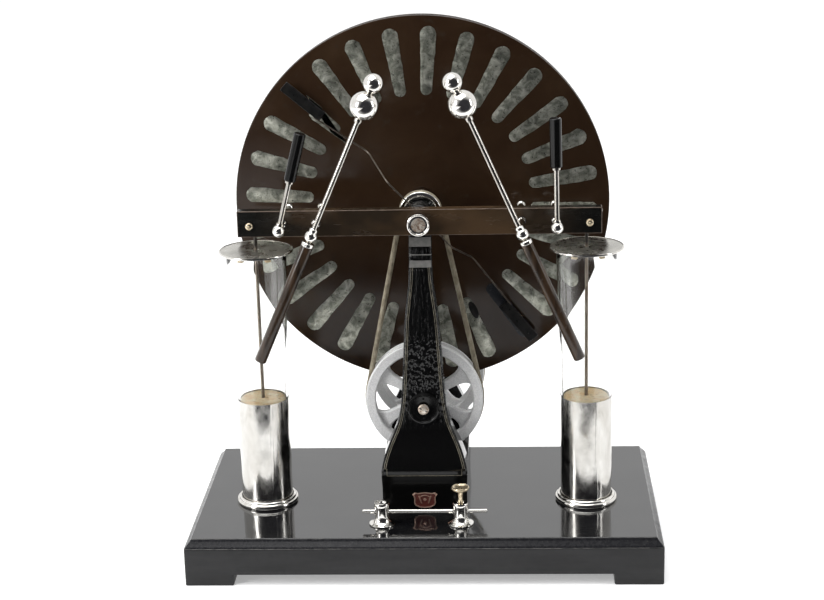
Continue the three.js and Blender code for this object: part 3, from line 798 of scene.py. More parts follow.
def make_badge():
    centre = middle("badge")
    (_, front, _), (_, back, _) = ends("badge")

    def at(points, y):
        return [(centre.x + x, y, centre.z + z) for x, z in points]

    def shield(*levels):
        whole = SHIELD + [(-x, z) for x, z in reversed(SHIELD[1:-1])]
        return loft([at([(x * scale, z * scale) for x, z in whole], y) for scale, y in levels])

    rim = shield((0.99, back), (0.99, front + 0.15), (0.95, front), (0.89, front), (0.87, front + 0.3),
                 (0.87, back))
    boss = lathe([(0, 0), (1.5, 0), (1.7, 0.3), (0.9, 0.75), (0, 0.85)], (centre.x, back, centre.z + 0.4),
                 FRONT, 24)
    arch = tube(at(arc((0, -1.4), 5.6, 35, 145, 12), front + 0.25), 0.35, 8)
    bars = []
    for sign in (-1, 1):
        bar = [(sign * a, z) for a, z in ((2.2, -2.8), (3.4, -2.8), (5.4, 3.6), (4.2, 3.6))]
        bars.append(loft([at(bar, back), at(bar, front + 0.05)]))
    piece("badge_border", [rim, boss, arch] + bars, "badge_copper", replaces="badge")
    piece("badge_field", [shield((0.9, back), (0.9, front + 0.35))], "badge_red")


# ---------------------------------------------------------------- bars, spindle and nuts

def make_bar(side, place):
    bar = block(BAR_LOW, BAR_HIGH)
    piece(f"{side}_bar_strip", [bar], "ebonite_bar", replaces=f"{side}_bar", bevel=0.55,
          edge_look="ebonite_edge", place=place)
    screws = []
    for sign in (-1, 1):
        origin = (sign * (JAR_X + 1.5), -BAR_OUT, SPINDLE_Z - 1.4)
        screws.append(lathe([(0, -1), (2.3, -1), (2.3, 0.2), (3, 0.5), (3.1, 1.5), (2.7, 2.3), (1.7, 2.9),
                             (0, 3.1)], origin, FRONT, 28))
        screws.append(lathe([(0, 2.6), (0.9, 2.6), (0.9, 4), (0.6, 4.3), (0, 4.3)], origin, FRONT, 16))
    piece(f"{side}_bar_screws", screws, "old_brass", place=place)


def make_spindle_nut(side, place):
    knob = forward_lathe([(4.4, 0), (8.3, 0), (9.1, 0.7), (9.1, 8.6), (8.8, 9.5), (8.1, 9.9), (7.5, 9.6),
                          (7.2, 8.9), (4.4, 8.7)], SPINDLE_Z, 64, BAR_OUT)
    piece(f"{side}_spindle_knob", [knob], "polished_nickel", replaces=f"{side}_spindle_nut", bevel=0.12,
          place=place)
    face = forward_lathe([(0, 4), (7.15, 4), (7.15, 8.7), (4, 8.9), (1.2, 8.9), (0, 8.5)], SPINDLE_Z, 48,
                         BAR_OUT, closed=False)
    piece(f"{side}_spindle_end", [face], "mottled_nickel", place=place)


def make_spindle():
    reach = COLUMN_OUT + 6
    shaft = rod(4, (0, -reach, SPINDLE_Z), (0, reach, SPINDLE_Z), 40)
    piece("spindle_shaft", [shaft], "polished_nickel", replaces="upper_spindle")


# ---------------------------------------------------------------- plates, hubs, wheels and belts

SECTOR_COUNT = 28
SECTOR_FIRST = 9.5
SECTOR_INNER = 88.5
SECTOR_OUTER = 144
SECTOR_INNER_HALF = 4.6
SECTOR_OUTER_HALF = 6.3
SECTOR_SKIN = 0.16
MISSING_SECTOR = 23
PEELED_SECTOR = 10
PEELED_OUTER = 118
VARNISH_ANGLE = -53
VARNISH_SKIN = 0.08


def polar(reach, degrees, out):
    """A point by its distance and direction from the spindle."""
    angle = math.radians(degrees)
    return Vector((reach * math.cos(angle), -out, SPINDLE_Z + reach * math.sin(angle)))


def drawn_in(length, centre, shrink):
    """A lengthwise measure, shrunk a tenth as much as the width is."""
    return centre + (length - centre) * (1 - (1 - shrink) * 0.1)


def sector_outline(outer):
    """A tapered strip with round ends, as (reach, sideways) points."""
    low, high = SECTOR_INNER + SECTOR_INNER_HALF, outer - SECTOR_OUTER_HALF
    taper = SECTOR_OUTER_HALF - SECTOR_INNER_HALF
    steps = range(1, 8)
    outline = arc((high, 0), SECTOR_OUTER_HALF, -90, 90, 14)
    outline += [(high - 5 * step, SECTOR_OUTER_HALF - taper * 5 * step / (high - low)) for step in steps]
    outline += arc((low, 0), SECTOR_INNER_HALF, 90, 270, 12)
    outline += [(low + 5 * step, -SECTOR_INNER_HALF - taper * step / 8) for step in steps]
    return outline


def sector_strip(degrees, outer, skin, seed):
    """One strip on a plate, its edges a little ragged."""
    cosine, sine = math.cos(math.radians(degrees)), math.sin(math.radians(degrees))
    outline = sector_outline(outer)
    rings = []
    for lift, shrink in ((-0.05, 1.0), (skin * 0.6, 1.0), (skin, 0.95)):
        ring = []
        for reach, sideways in outline:
            wander = 1 + 0.13 * noise.noise(Vector((reach / 2.6, sideways / 2.6, seed)))
            a = drawn_in(reach, (SECTOR_INNER + outer) / 2, shrink)
            b = sideways * shrink * wander
            ring.append((a * cosine - b * sine, -PLATE_OUT - lift, SPINDLE_Z + a * sine + b * cosine))
        rings.append(ring)
    return loft(rings)


def make_plate(side, place):
    rim = PLATE_RADIUS
    disc = forward_lathe([(4.1, PLATE_OUT), (rim - 0.9, PLATE_OUT), (rim - 0.3, PLATE_OUT - 0.3),
                          (rim, PLATE_OUT - 0.9), (rim, PLATE_IN + 0.9), (rim - 0.3, PLATE_IN + 0.3),
                          (rim - 0.9, PLATE_IN), (4.1, PLATE_IN)], SPINDLE_Z, 192)
    piece(f"{side}_plate_disc", [disc], "ebonite_plate", f"{side}_disc", f"{side}_plate", place=place)
    strips = []
    for number in range(SECTOR_COUNT):
        if side == "front" and number == MISSING_SECTOR:
            continue
        peeled = side == "front" and number == PEELED_SECTOR
        strips.append(sector_strip(SECTOR_FIRST + 360 * number / SECTOR_COUNT,
                                   PEELED_OUTER if peeled else SECTOR_OUTER, SECTOR_SKIN, number * 7.3))
    piece(f"{side}_sectors", strips, "sector_foil", f"{side}_disc", place=place)


def make_patch():
    """Dark varnish where one sector has gone, and a dark patch stuck over the next."""
    varnish = sector_strip(VARNISH_ANGLE, SECTOR_OUTER, VARNISH_SKIN, 3.1)
    piece("front_plate_varnish", [varnish], "dark_varnish", "front_disc")
    corners, faces = lathe([(0, -0.15), (3.2, -0.15), (3.4, 0.05), (2.9, 0.3), (0, 0.38)], axis=FRONT,
                           segments=32)
    stretched = [Vector((point.x * 0.9, point.y, point.z * 2.3)) for point in corners]
    patch = turned_by((stretched, faces), -24, BACK, (0, 0, 0))
    patch = moved(patch, polar(101, -66.2, PLATE_OUT + SECTOR_SKIN + 0.15))
    piece("front_plate_patch", [patch], "black_rubber", "front_disc")


PULLEY_RADIUS = 16.8
PULLEY_GROOVE = 3.2


def make_hub(side, place):
    hub = forward_lathe([(4.1, 31.4), (12.5, 31.4), (12.9, 31), (12.9, PLATE_OUT + 1),
                         (12.5, PLATE_OUT + 0.1), (4.1, PLATE_OUT + 0.1)], SPINDLE_Z, 64)
    depth = PULLEY_RADIUS - PULLEY_BELT_RADIUS + BELT_RADIUS + 0.3
    groove = [(PULLEY_RADIUS - depth * math.sin(math.pi * step / 12) ** 0.8,
               BELT_OUT + PULLEY_GROOVE * (step / 6 - 1)) for step in range(13)]
    lip = [(PULLEY_RADIUS - 3 + 3 * a, 39.2 + 1.2 * b) for a, b in arc((0, 0), 1, 0, 90, 6)]
    pulley = forward_lathe([(4.1, 31.6), (16.2, 31.6), (PULLEY_RADIUS, 32.1)] + groove + lip
                           + [(12.8, 39.6), (9, 39.4), (8.4, 40.2), (4.1, 40.4)], SPINDLE_Z, 80)
    piece(f"{side}_hub", [hub, pulley], "polished_nickel", f"{side}_disc", f"{side}_hub_pulley",
          bevel=0.12, place=place)


WHEEL_RADIUS = 48.2
WHEEL_RIM_INNER = 39.8
WHEEL_SPOKES = 6
SPOKE_TURN = {"front": 0, "rear": 30}
# One side of a spoke, from the hub to the rim, with flared ends: (sideways, reach).
SPOKE_SIDE = [(5.4, 7), (4.3, 11), (4.0, 16), (4.3, 24), (5.0, 31), (6.6, 35.5), (9.4, 38.6), (12.6, 40.4)]


def make_wheel(side, place):
    groove = [(WHEEL_RADIUS - 3.5 * math.sin(math.pi * step / 12) ** 0.6, BELT_OUT - 3.4 + 6.8 * step / 12)
              for step in range(13)]
    rim = forward_lathe([(WHEEL_RIM_INNER + 1.2, 29.5), (WHEEL_RADIUS - 0.7, 29.5), (WHEEL_RADIUS, 30.2)]
                        + groove + [(WHEEL_RADIUS, 42.2), (WHEEL_RADIUS - 0.9, 43), (WHEEL_RIM_INNER + 1, 43),
                                    (WHEEL_RIM_INNER, 42.2), (WHEEL_RIM_INNER + 0.8, 36.5)], AXLE_Z, 128)
    hub = forward_lathe([(3.3, 28.5), (9.3, 28.5), (10, 29.2), (10.6, 36), (10, 43.6), (9, 44.5),
                         (3.3, 44.5)], AXLE_Z, 48)
    outline = SPOKE_SIDE + [(-x, reach) for x, reach in reversed(SPOKE_SIDE)]
    rings = []
    for out, shrink in ((33.4, 0.86), (34.4, 1.0), (37.6, 1.0), (38.9, 0.8)):
        rings.append([(x * shrink, -out, AXLE_Z + reach) for x, reach in outline])
    spokes = [turned_by(loft(rings), SPOKE_TURN[side] + 360 * number / WHEEL_SPOKES, BACK, (0, 0, AXLE_Z))
              for number in range(WHEEL_SPOKES)]
    piece(f"{side}_wheel", [rim, hub] + spokes, "grey_enamel", "drive", f"{side}_drive_wheel", bevel=0.35,
          place=place)


def belt_run(start, end, step_aside):
    """A straight run as (x, z, how far forwards or back), bowed to clear the other run."""
    return [(start[0] + (end[0] - start[0]) * share / 16, start[1] + (end[1] - start[1]) * share / 16,
             step_aside * math.sin(math.pi * share / 16)) for share in range(1, 16)]


def belt_route(crossed):
    reach = WHEEL_BELT_RADIUS + (PULLEY_BELT_RADIUS if crossed else -PULLEY_BELT_RADIUS)
    tilt = math.degrees(math.asin(reach / (SPINDLE_Z - AXLE_Z))) * (-1 if crossed else 1)
    start, end = (-tilt, tilt - 180) if crossed else (180 - tilt, 360 + tilt)
    upper = arc((0, SPINDLE_Z), PULLEY_BELT_RADIUS, tilt, 180 - tilt, 24)
    lower = arc((0, AXLE_Z), WHEEL_BELT_RADIUS, start, end, 48)
    step_aside = BELT_RADIUS + 0.7 if crossed else 0.0
    route = [(x, z, 0) for x, z in upper] + belt_run(upper[-1], lower[0], step_aside)
    route += [(x, z, 0) for x, z in lower] + belt_run(lower[-1], upper[0], -step_aside)
    return [(x, -BELT_OUT + aside, z) for x, z, aside in route]


def make_belt(side, crossed, place):
    belt = tube(belt_route(crossed), BELT_RADIUS, 10, closed=True)
    piece(f"{side}_belt_cord", [belt], "belt_leather", replaces=f"{side}_belt", place=place)


# ---------------------------------------------------------------- neutralisers and collectors

HOLDER_OUT = 12
HOLDER_MIDDLE = (127, -4.45)
ARM_COLLAR_OUT = 46
BRUSH_WIRES = 26


def brush_holder(degrees):
    """A flat bar with round corners, lying along the arm's direction."""
    outline = []
    for reach, aside, start in ((146, -8, -90), (146, -0.9, 0), (108, -0.9, 90), (108, -8, 180)):
        outline += arc((reach, aside), 0.9, start, start + 90, 4)
    reach_middle, aside_middle = HOLDER_MIDDLE
    rings = []
    for out, shrink in ((10.6, 0.9), (11.1, 1.0), (12.1, 1.0), (12.6, 0.9)):
        rings.append([(drawn_in(a, reach_middle, shrink), -out,
                       SPINDLE_Z + aside_middle + (b - aside_middle) * shrink) for a, b in outline])
    return turned_by(loft(rings), -degrees, BACK, (0, 0, SPINDLE_Z))


def brush(degrees, stream):
    wires = []
    for _ in range(BRUSH_WIRES):
        reach = 124 + stream.uniform(-2.2, 2.2)
        aside = degrees - 1.9 + stream.uniform(-1.1, 1.1)
        tip = polar(reach + stream.uniform(1, 5), aside + stream.uniform(-1.2, 1.2), PLATE_OUT + 0.5)
        wires.append(tube([polar(reach, aside, 10.9), polar(reach, aside, 9), tip], 0.09, 5))
    return wires


def make_neutraliser(side, place):
    body = f"{side}_neutraliser"
    collar = forward_lathe([(7.9, 43.4), (10.4, 43.4), (11, 44), (11, 48), (10.4, 48.6), (7.9, 48.6)],
                           SPINDLE_Z, 48)
    screw = rod(1.7, polar(10.6, 45, ARM_COLLAR_OUT), polar(13.6, 45, ARM_COLLAR_OUT), 20)
    arms = []
    holders = []
    wires = []
    stream = random.Random(11)
    for bend, end in ((134, 139.5), (-48.2, -50.2)):
        route = [polar(9, bend, ARM_COLLAR_OUT), polar(37, bend, ARM_COLLAR_OUT), polar(61, bend, HOLDER_OUT),
                 polar(112, end, HOLDER_OUT)]
        arms.append(tube(softened(route, 5), 0.7))
        holders.append(brush_holder(end))
        wires += brush(end, stream)
    piece(f"{side}_neutraliser_collar", [collar, screw], "smooth_black", body, body,
          bevel=0.1, place=place)
    piece(f"{side}_neutraliser_arms", arms, "aged_steel", body, place=place)
    piece(f"{side}_brush_holders", holders, "black_rubber", body, place=place)
    piece(f"{side}_brushes", wires, "old_brass", body, place=place)


def make_collector(name, sign, inner_out, outer_out, place):
    """Two rods through the bar, and behind it the comb rod with its points."""
    shapes = [rod(1.8, (sign * 77.2, -COMB_OUT, COMB_Z), (sign * 145.8, -COMB_OUT, COMB_Z), 24, 0.6)]
    for x, out in ((sign * INNER_ROD_X, inner_out), (sign * OUTER_ROD_X, outer_out)):
        shapes.append(rod(2.5, (x, -out, CONDUCTOR_Z), (x, -COMB_OUT, CONDUCTOR_Z), 28))
        shapes.append(ball(3.8, (x, -COMB_OUT, CONDUCTOR_Z), 32))
        shapes.append(lathe([(2.5, 0), (3.3, 0), (3.3, 0.6), (2.5, 0.9)], (x, -BAR_OUT, CONDUCTOR_Z), FRONT,
                            32, closed=True))
    for number in range(11):
        x = sign * (89 + number * 5.2)
        if abs(abs(x) - OUTER_ROD_X) >= 3:
            shapes.append(lathe([(0, -1.6), (0.55, -1.4), (0.45, 2), (0.05, 6.8), (0, 6.9)],
                                (x, -COMB_OUT, COMB_Z), BACK, 12))
    piece(f"{name}_rods", shapes, "polished_nickel", replaces=name, place=place)


# ---------------------------------------------------------------- shafts and crank

AXLE = (0, 0, AXLE_Z)
CRANK_PIN = (0, 0, CRANK_PIN_Z)
CRANK_ARM_THICKNESS = 6
# The crank's grip, as (share of its length, radius).
GRIP_SWELL = [(0.0, 5.2), (0.02, 6.3), (0.05, 7.4), (0.09, 7.5), (0.12, 6.9), (0.17, 6.9), (0.25, 7.5),
              (0.4, 9.0), (0.52, 9.6), (0.64, 9.7), (0.76, 9.2), (0.87, 8.2), (0.94, 6.9), (0.98, 5.4),
              (1.0, 4.4)]


def make_drive_shaft():
    shaft = rod(3, (0, -COLUMN_OUT - 3, AXLE_Z), (0, 98, AXLE_Z))
    piece("drive_shaft", [shaft], "polished_nickel", "drive", "drive_axle")
    front = -ends("drive_axle")[0][1]
    head = forward_lathe([(0, -2.4), (4.2, -2.4), (4.5, -2), (4.3, -0.9), (3.3, -0.15), (1.2, 0), (0, 0)],
                         AXLE_Z, 32, front, closed=False)
    piece("drive_shaft_head", [head], "mottled_nickel", "drive")
    # Painted shade: a thin dark block set into the head's face stands for the shade in a cut slot.
    recess = block((-3.6, -front + 0.02, AXLE_Z - 0.45), (3.6, -front + 0.5, AXLE_Z + 0.45))
    piece("drive_shaft_slot_shade", [turned_by(recess, 28, BACK, AXLE)], "recess_shade", "drive")


def make_crank():
    (_, inner, _), (_, pin_end, _) = ends("crank_arm")
    outer = inner + CRANK_ARM_THICKNESS
    outline = arc((0, 0), 8, 0, 180, 20) + arc((0, CRANK_PIN_Z - AXLE_Z), 6.4, 180, 360, 20)
    rings = [[(x * shrink, y, AXLE_Z + z) for x, z in outline]
             for y, shrink in ((inner, 0.94), (inner + 0.6, 1.0), (outer - 0.6, 1.0), (outer, 0.94))]
    boss = lathe([(0, outer - 0.5), (6.4, outer - 0.5), (6.2, outer + 1.6), (5.4, outer + 2.2),
                  (0, outer + 2.4)], AXLE, BACK, 6)
    collar = lathe([(0, outer - 0.5), (5.6, outer - 0.5), (5.4, outer + 0.3), (0, outer + 0.3)],
                   CRANK_PIN, BACK, 32)
    pin = rod(3, (0, outer - 1, CRANK_PIN_Z), (0, pin_end - 1.5, CRANK_PIN_Z), 24)
    cap = lathe([(0, pin_end - 2.6), (4.3, pin_end - 2.6), (4.4, pin_end - 1.2), (3.2, pin_end - 0.2),
                 (0, pin_end)], CRANK_PIN, BACK, 32)
    piece("crank_lever", [loft(rings), boss, collar, pin, cap], "polished_nickel", "drive", "crank_arm",
          bevel=0.2)
    (_, start, _), (_, end, _) = ends("crank_grip")
    length = end - start
    profile = [(3.15, 0)] + [(radius, share * length) for share, radius in GRIP_SWELL] + [(3.15, length)]
    grip = lathe(profile, (0, start, CRANK_PIN_Z), BACK, 56, closed=True)
    piece("crank_handle", [grip], "ebonite_handle", "crank_grip", "crank_grip")


# ---------------------------------------------------------------- dischargers and levers

JOINT_BALL_RADIUS = 4.9
ARM_RADIUS = 2
DISCHARGER_LEAN = 23.6
LARGE_SPHERE_REACH = 109.5
SMALL_SPHERE_REACH = 127.7
HANDLE_END = -109
# Where each lever stands across the machine, how far it leans, and how far its handle's foot is.
LEVERS = {"left": (-OUTER_ROD_X, 14.6, 41.0), "right": (OUTER_ROD_X, -0.8, 47.5)}
LEVER_HANDLE = 38


def leaning(degrees):
    """The direction of an arm that leans towards +X by this angle."""
    return Vector((math.sin(math.radians(degrees)), 0, math.cos(math.radians(degrees))))


def make_discharger(side, x, lean):
    joint = Vector((x, DISCHARGER_Y, CONDUCTOR_Z))
    along = leaning(lean)
    body = f"{side}_discharger"
    sleeve = lathe([(2.1, 3.6), (3.2, 3.6), (3.4, 4.4), (3.1, 6.2), (2.5, 6.8), (2.1, 6.8)], joint, along,
                   32, closed=True)
    piece(f"{side}_discharger_knuckle", [ball(JOINT_BALL_RADIUS, joint), sleeve], "polished_nickel", body,
          f"{side}_discharger_ball")
    bar = rod(ARM_RADIUS, joint - along * 10, joint + along * (LARGE_SPHERE_REACH - 8))
    upper_sleeve = lathe([(2, 95.6), (2.8, 96), (3, 97.6), (2.8, 99.4), (2, 99.8)], joint, along, 32,
                         closed=True)
    piece(f"{side}_discharger_arm", [bar, upper_sleeve], "rod_nickel", body, f"{side}_discharger_rod")
    neck = lathe([(0, 117), (3.4, 117), (2.6, 119.4), (2.6, 120.4), (3.4, 122), (0, 122)], joint, along, 32)
    large = ball(11.1, joint + along * LARGE_SPHERE_REACH, 72)
    small = ball(7.6, joint + along * SMALL_SPHERE_REACH, 56)
    piece(f"{side}_discharger_spheres", [neck, large, small], "polished_nickel", body)
    ferrule = lathe([(2.1, -5.2), (4.4, -5.2), (4.9, -5.7), (4.9, -7.9), (4.5, -8.4), (2.1, -8.4)], joint,
                    along, 40, closed=True)
    piece(f"{side}_discharger_ferrule", [ferrule], "polished_nickel", body, bevel=0.15)
    handle = lathe([(0, -8.4), (4.4, -8.4), (4.6, -9), (4.6, HANDLE_END + 0.9), (4.1, HANDLE_END + 0.1),
                    (1.8, HANDLE_END + 0.1), (1.7, HANDLE_END + 0.9), (0, HANDLE_END + 1)], joint, along, 48)
    piece(f"{side}_discharger_grip", [handle], "ebonite_handle", body, f"{side}_discharger_handle")


def make_lever(side, x, lean, reach):
    joint = Vector((x, LEVER_Y, CONDUCTOR_Z))
    along = leaning(lean)
    body = f"{side}_lever"
    bar = rod(ARM_RADIUS, joint + along * 2, joint + along * (reach + 4))
    sleeve = lathe([(2, 4), (3, 4.2), (3.1, 5.4), (2.6, 6.4), (2, 6.6)], joint, along, 28, closed=True)
    tip = lathe([(2, reach - 2.2), (3.2, reach - 2), (3.3, reach - 0.4), (3, reach + 0.1), (2, reach + 0.1)],
                joint, along, 28, closed=True)
    piece(f"{side}_lever_arm", [bar, sleeve, tip], "rod_nickel", body, f"{side}_lever_rod")
    piece(f"{side}_lever_knuckle", [ball(JOINT_BALL_RADIUS, joint)], "polished_nickel", body)
    end = reach + LEVER_HANDLE
    handle = lathe([(0, reach), (4.1, reach), (4.6, reach + 0.6), (4.6, end - 0.6), (4.1, end), (1.6, end),
                    (1.4, end - 0.5), (0, end - 0.6)], joint, along, 48)
    piece(f"{side}_lever_grip", [handle], "smooth_black", body, f"{side}_lever_handle")


# ---------------------------------------------------------------- Leyden jars

GLASS_WALL = 1.6
FOIL_BOTTOM = 42.4
LID_Z = 253
PAD_TURNS = (-120, -56, 90)


def jar_radius(height):
    """The outer radius of the glass."""
    if height <= FOIL_TOP:
        return 20.3 + 0.3 * (height - BASE_TOP) / (FOIL_TOP - BASE_TOP)
    share = (height - FOIL_TOP) / (JAR_TOP - FOIL_TOP)
    return 20.6 + 3.8 * share ** 1.25


def crumpled(shape, amount, scale, seed):
    """Moves a shape's corners in and out from its own upright axis, like hand-laid foil."""
    corners, faces = shape
    centre_x = sum(point[0] for point in corners) / len(corners)
    centre_y = sum(point[1] for point in corners) / len(corners)
    result = []
    for point in corners:
        spot = Vector((point[0] / scale, point[1] / scale, point[2] / (scale * 2.2) + seed))
        share = amount * noise.noise(spot)
        outward = Vector((point[0] - centre_x, point[1] - centre_y, 0)).normalized()
        result.append(Vector(point) + outward * share)
    return result, faces


def make_jar_glass(side, centre):
    heights = [FOIL_TOP + (JAR_TOP - 0.8 - FOIL_TOP) * step / 14 for step in range(15)]
    lip = jar_radius(JAR_TOP)
    profile = [(0, BASE_TOP + 0.1), (18.6, BASE_TOP + 0.1), (jar_radius(41), 41)]
    profile += [(jar_radius(z), z) for z in heights]
    profile += [(lip - 0.15, JAR_TOP - 0.2), (lip - GLASS_WALL / 2, JAR_TOP),
                (lip - GLASS_WALL + 0.15, JAR_TOP - 0.2)]
    profile += [(jar_radius(z) - GLASS_WALL, z) for z in reversed(heights)]
    profile += [(jar_radius(43) - GLASS_WALL, 43), (17.4, 40.6), (0, 40.6)]
    piece(f"{side}_jar_cylinder", [lathe(profile, centre, UP, 96)], "jar_glass", replaces=f"{side}_jar_glass")


def make_jar_foil(side, centre):
    """The outer coating, with the lap where its ends meet."""
    x, y, _ = centre
    heights = [FOIL_BOTTOM + (FOIL_TOP - FOIL_BOTTOM) * step / 40 for step in range(41)]
    profile = [(jar_radius(z) + 0.42, z) for z in heights]
    profile += [(jar_radius(z) + 0.1, z) for z in (FOIL_TOP, FOIL_BOTTOM)]
    foil = crumpled(lathe(profile, centre, UP, 96, closed=True), 0.32, 9, x)
    lap = []
    for z in heights[::2]:
        ring = []
        for degrees, lift in ((-64, 0.0), (-66, 0.16), (-70, 0.16), (-71.5, 0.0)):
            angle = math.radians(degrees + 1.2 * noise.noise(Vector((z / 9, x, 0))))
            radius = jar_radius(z) + 0.5 + lift
            ring.append((x + radius * math.cos(angle), y + radius * math.sin(angle), z))
        lap.append(ring)
    piece(f"{side}_jar_coating", [foil, loft(lap)], "jar_foil", replaces=f"{side}_jar_foil", sharp=60)


def make_jar_ring(side, x):
    ring = lathe([(21.4, 0), (23.8, 0), (24.9, 0.3), (25.5, 1.2), (25.5, 2.4), (24.9, 3.3), (24.1, 3.6),
                  (23.7, 4), (23.6, 4.7), (23.2, 5.4), (22.5, 5.8), (21.6, 5.6), (21.4, 5)],
                 (x, JAR_Y, BASE_TOP), UP, 96, closed=True)
    piece(f"{side}_jar_collar", [ring], "polished_nickel", replaces=f"{side}_jar_ring")


def make_jar_inside(side, centre):
    """The cork and the inner coating."""
    inner = jar_radius(124) - GLASS_WALL - 0.15
    bung = lathe([(2.2, 116), (inner - 0.4, 116), (inner, 116.6), (inner, FOIL_TOP - 1.6),
                  (inner - 0.5, FOIL_TOP - 0.5), (inner - 1.3, FOIL_TOP), (12, FOIL_TOP), (6, FOIL_TOP),
                  (2.2, FOIL_TOP)], centre, UP, 64, closed=True)
    piece(f"{side}_jar_bung", [crumpled(bung, 0.25, 3, centre[0])], "cork", replaces=f"{side}_jar_cork")
    lining = lathe([(inner - 0.2, 42.5), (inner - 0.2, 115.8), (inner - 0.6, 115.8), (inner - 0.6, 42.5)],
                   centre, UP, 48, closed=True)
    piece(f"{side}_jar_lining", [lining], "jar_foil")


def make_jar_stem(side, x):
    top = SPINDLE_Z - 2.4
    stem = rod(1.35, (x, JAR_Y, 52), (x, JAR_Y, top - 4), 28)
    eye = lathe([(0, -2.6), (3.4, -2.6), (3.7, -2.2), (3.7, 2.2), (3.4, 2.6), (0, 2.6)],
                (x, JAR_Y, top - 4.2), BACK, 32)
    clip = rod(1.6, (x, JAR_Y + 2, top - 4.2), (x + math.copysign(1.5, x), -COLUMN_OUT - 0.2, top - 2), 24)
    piece(f"{side}_jar_stem", [stem, eye, clip], "stem_steel", replaces=f"{side}_jar_rod")


def make_jar_lid(side, centre):
    x, y, _ = centre
    lid = lathe([(1.6, LID_Z), (CAP_RADIUS - 0.7, LID_Z - 0.3), (CAP_RADIUS - 0.1, LID_Z),
                 (CAP_RADIUS, LID_Z + 0.4), (CAP_RADIUS - 0.3, LID_Z + 0.8), (CAP_RADIUS - 1.2, LID_Z + 1),
                 (18, CAP_TOP - 0.1), (3, CAP_TOP), (2, CAP_TOP - 0.3), (1.6, CAP_TOP - 0.6)],
                centre, UP, 96, closed=True)
    piece(f"{side}_jar_lid", [lid], "brushed_nickel", replaces=f"{side}_jar_cap", bevel=0.1)
    pad = block((x + 18.6, y - 2.2, LID_Z - 5), (x + 21.4, y + 2.2, LID_Z))
    piece(f"{side}_jar_lid_pads", [turned_by(pad, turn, UP, centre) for turn in PAD_TURNS], "cork", bevel=0.3)
    rim = lathe([(CAP_RADIUS - 0.9, LID_Z - 0.3), (CAP_RADIUS - 0.3, LID_Z - 0.3), (CAP_RADIUS, LID_Z + 0.1),
                 (CAP_RADIUS, LID_Z + 0.7), (CAP_RADIUS - 0.3, LID_Z + 1.2), (CAP_RADIUS - 0.8, LID_Z + 1.35),
                 (CAP_RADIUS - 1.3, LID_Z + 1.15)], centre, UP, 128, closed=True)
    piece(f"{side}_jar_lid_rim", [rim], "polished_nickel")


def make_jar(side, x):
    centre = (x, JAR_Y, 0)
    make_jar_glass(side, centre)
    make_jar_foil(side, centre)
    make_jar_ring(side, x)
    make_jar_inside(side, centre)
    make_jar_stem(side, x)
    make_jar_lid(side, centre)


# ---------------------------------------------------------------- terminals

SCREW_FLUTES = 28
FLUTE_RADIUS = 6.95
FLUTE_DEPTH = 0.2


def make_terminal_post(side, x):
    top = TERMINAL_TOP - BASE_TOP
    post = lathe([(0, 0), (9.8, 0), (10.4, 0.5), (10.3, 1.2), (8.9, 2), (7.6, 2.6), (6.7, 3.6), (5.9, 5.2),
                  (5.5, 7.5), (5.5, 12), (5.8, 14), (6.2, 15.6), (6.3, 17.4), (5.8, top), (4.4, top),
                  (2.6, top - 0.3), (2.3, top - 1), (0, top - 1.1)], (x, TERMINAL_Y, BASE_TOP), UP, 56)
    eyes = [lathe([(1.9, 4.9), (2.9, 4.9), (3, 5.5), (2.6, 5.9), (1.9, 5.9)],
                  (x, TERMINAL_Y, TERMINAL_ROD_Z), (sign, 0, 0), 28, closed=True) for sign in (-1, 1)]
    piece(f"{side}_terminal_body", [post] + eyes, "polished_nickel", replaces=f"{side}_terminal_post")


def make_terminal_rod():
    # Painted shade: a dark disc in the dimple on the post's top stands for the shade in its hole.
    hole_shade = lathe([(0, 0), (2.5, 0), (2.5, 0.25), (0, 0.25)],
                  (TERMINAL_X["left"], TERMINAL_Y, TERMINAL_TOP - 1.2), UP, 28)
    piece("left_terminal_hole_shade", [hole_shade], "recess_shade")
    low, high = ends("terminal_rod")
    bar = rod((high[2] - low[2]) / 2, (low[0], TERMINAL_Y, TERMINAL_ROD_Z),
              (high[0], TERMINAL_Y, TERMINAL_ROD_Z), 24, 0.7)
    piece("terminal_link", [bar], "polished_nickel", "terminal_rod", "terminal_rod")


def make_thumbscrew():
    """A screw with a thin head, its rim fluted."""
    (_, _, tip), (_, _, head) = ends("terminal_thumbscrew")
    centre = Vector((TERMINAL_X["right"], TERMINAL_Y, 0))
    corners, faces = lathe([(0, tip), (1.9, tip), (1.9, tip + 5), (2.0, head - 4.6), (3, head - 3.8),
                            (5.6, head - 3), (7, head - 2.3), (7.3, head - 1.6), (7.3, head - 0.8),
                            (6.9, head - 0.15), (6.3, head), (5.7, head - 0.9), (3, head - 1.5),
                            (0, head - 1.6)], centre, UP, SCREW_FLUTES * 4)
    fluted = []
    for point in corners:
        offset = Vector((point.x - centre.x, point.y - centre.y, 0))
        if offset.length > FLUTE_RADIUS:
            wave = 1 + math.cos(math.atan2(offset.y, offset.x) * SCREW_FLUTES)
            point = point - offset.normalized() * FLUTE_DEPTH * wave / 2
        fluted.append(point)
    piece("thumbscrew", [(fluted, faces)], "old_brass", "terminal_thumbscrew", "terminal_thumbscrew",
          sharp=50)


# ---------------------------------------------------------------- the machine

def make_half(side, flare, crossed, place):
    make_column(side, flare, place)
    make_bearing_cap(side, place)
    make_bar(side, place)
    make_spindle_nut(side, place)
    make_plate(side, place)
    make_hub(side, place)
    make_wheel(side, place)
    make_belt(side, crossed, place)
    make_neutraliser(side, place)


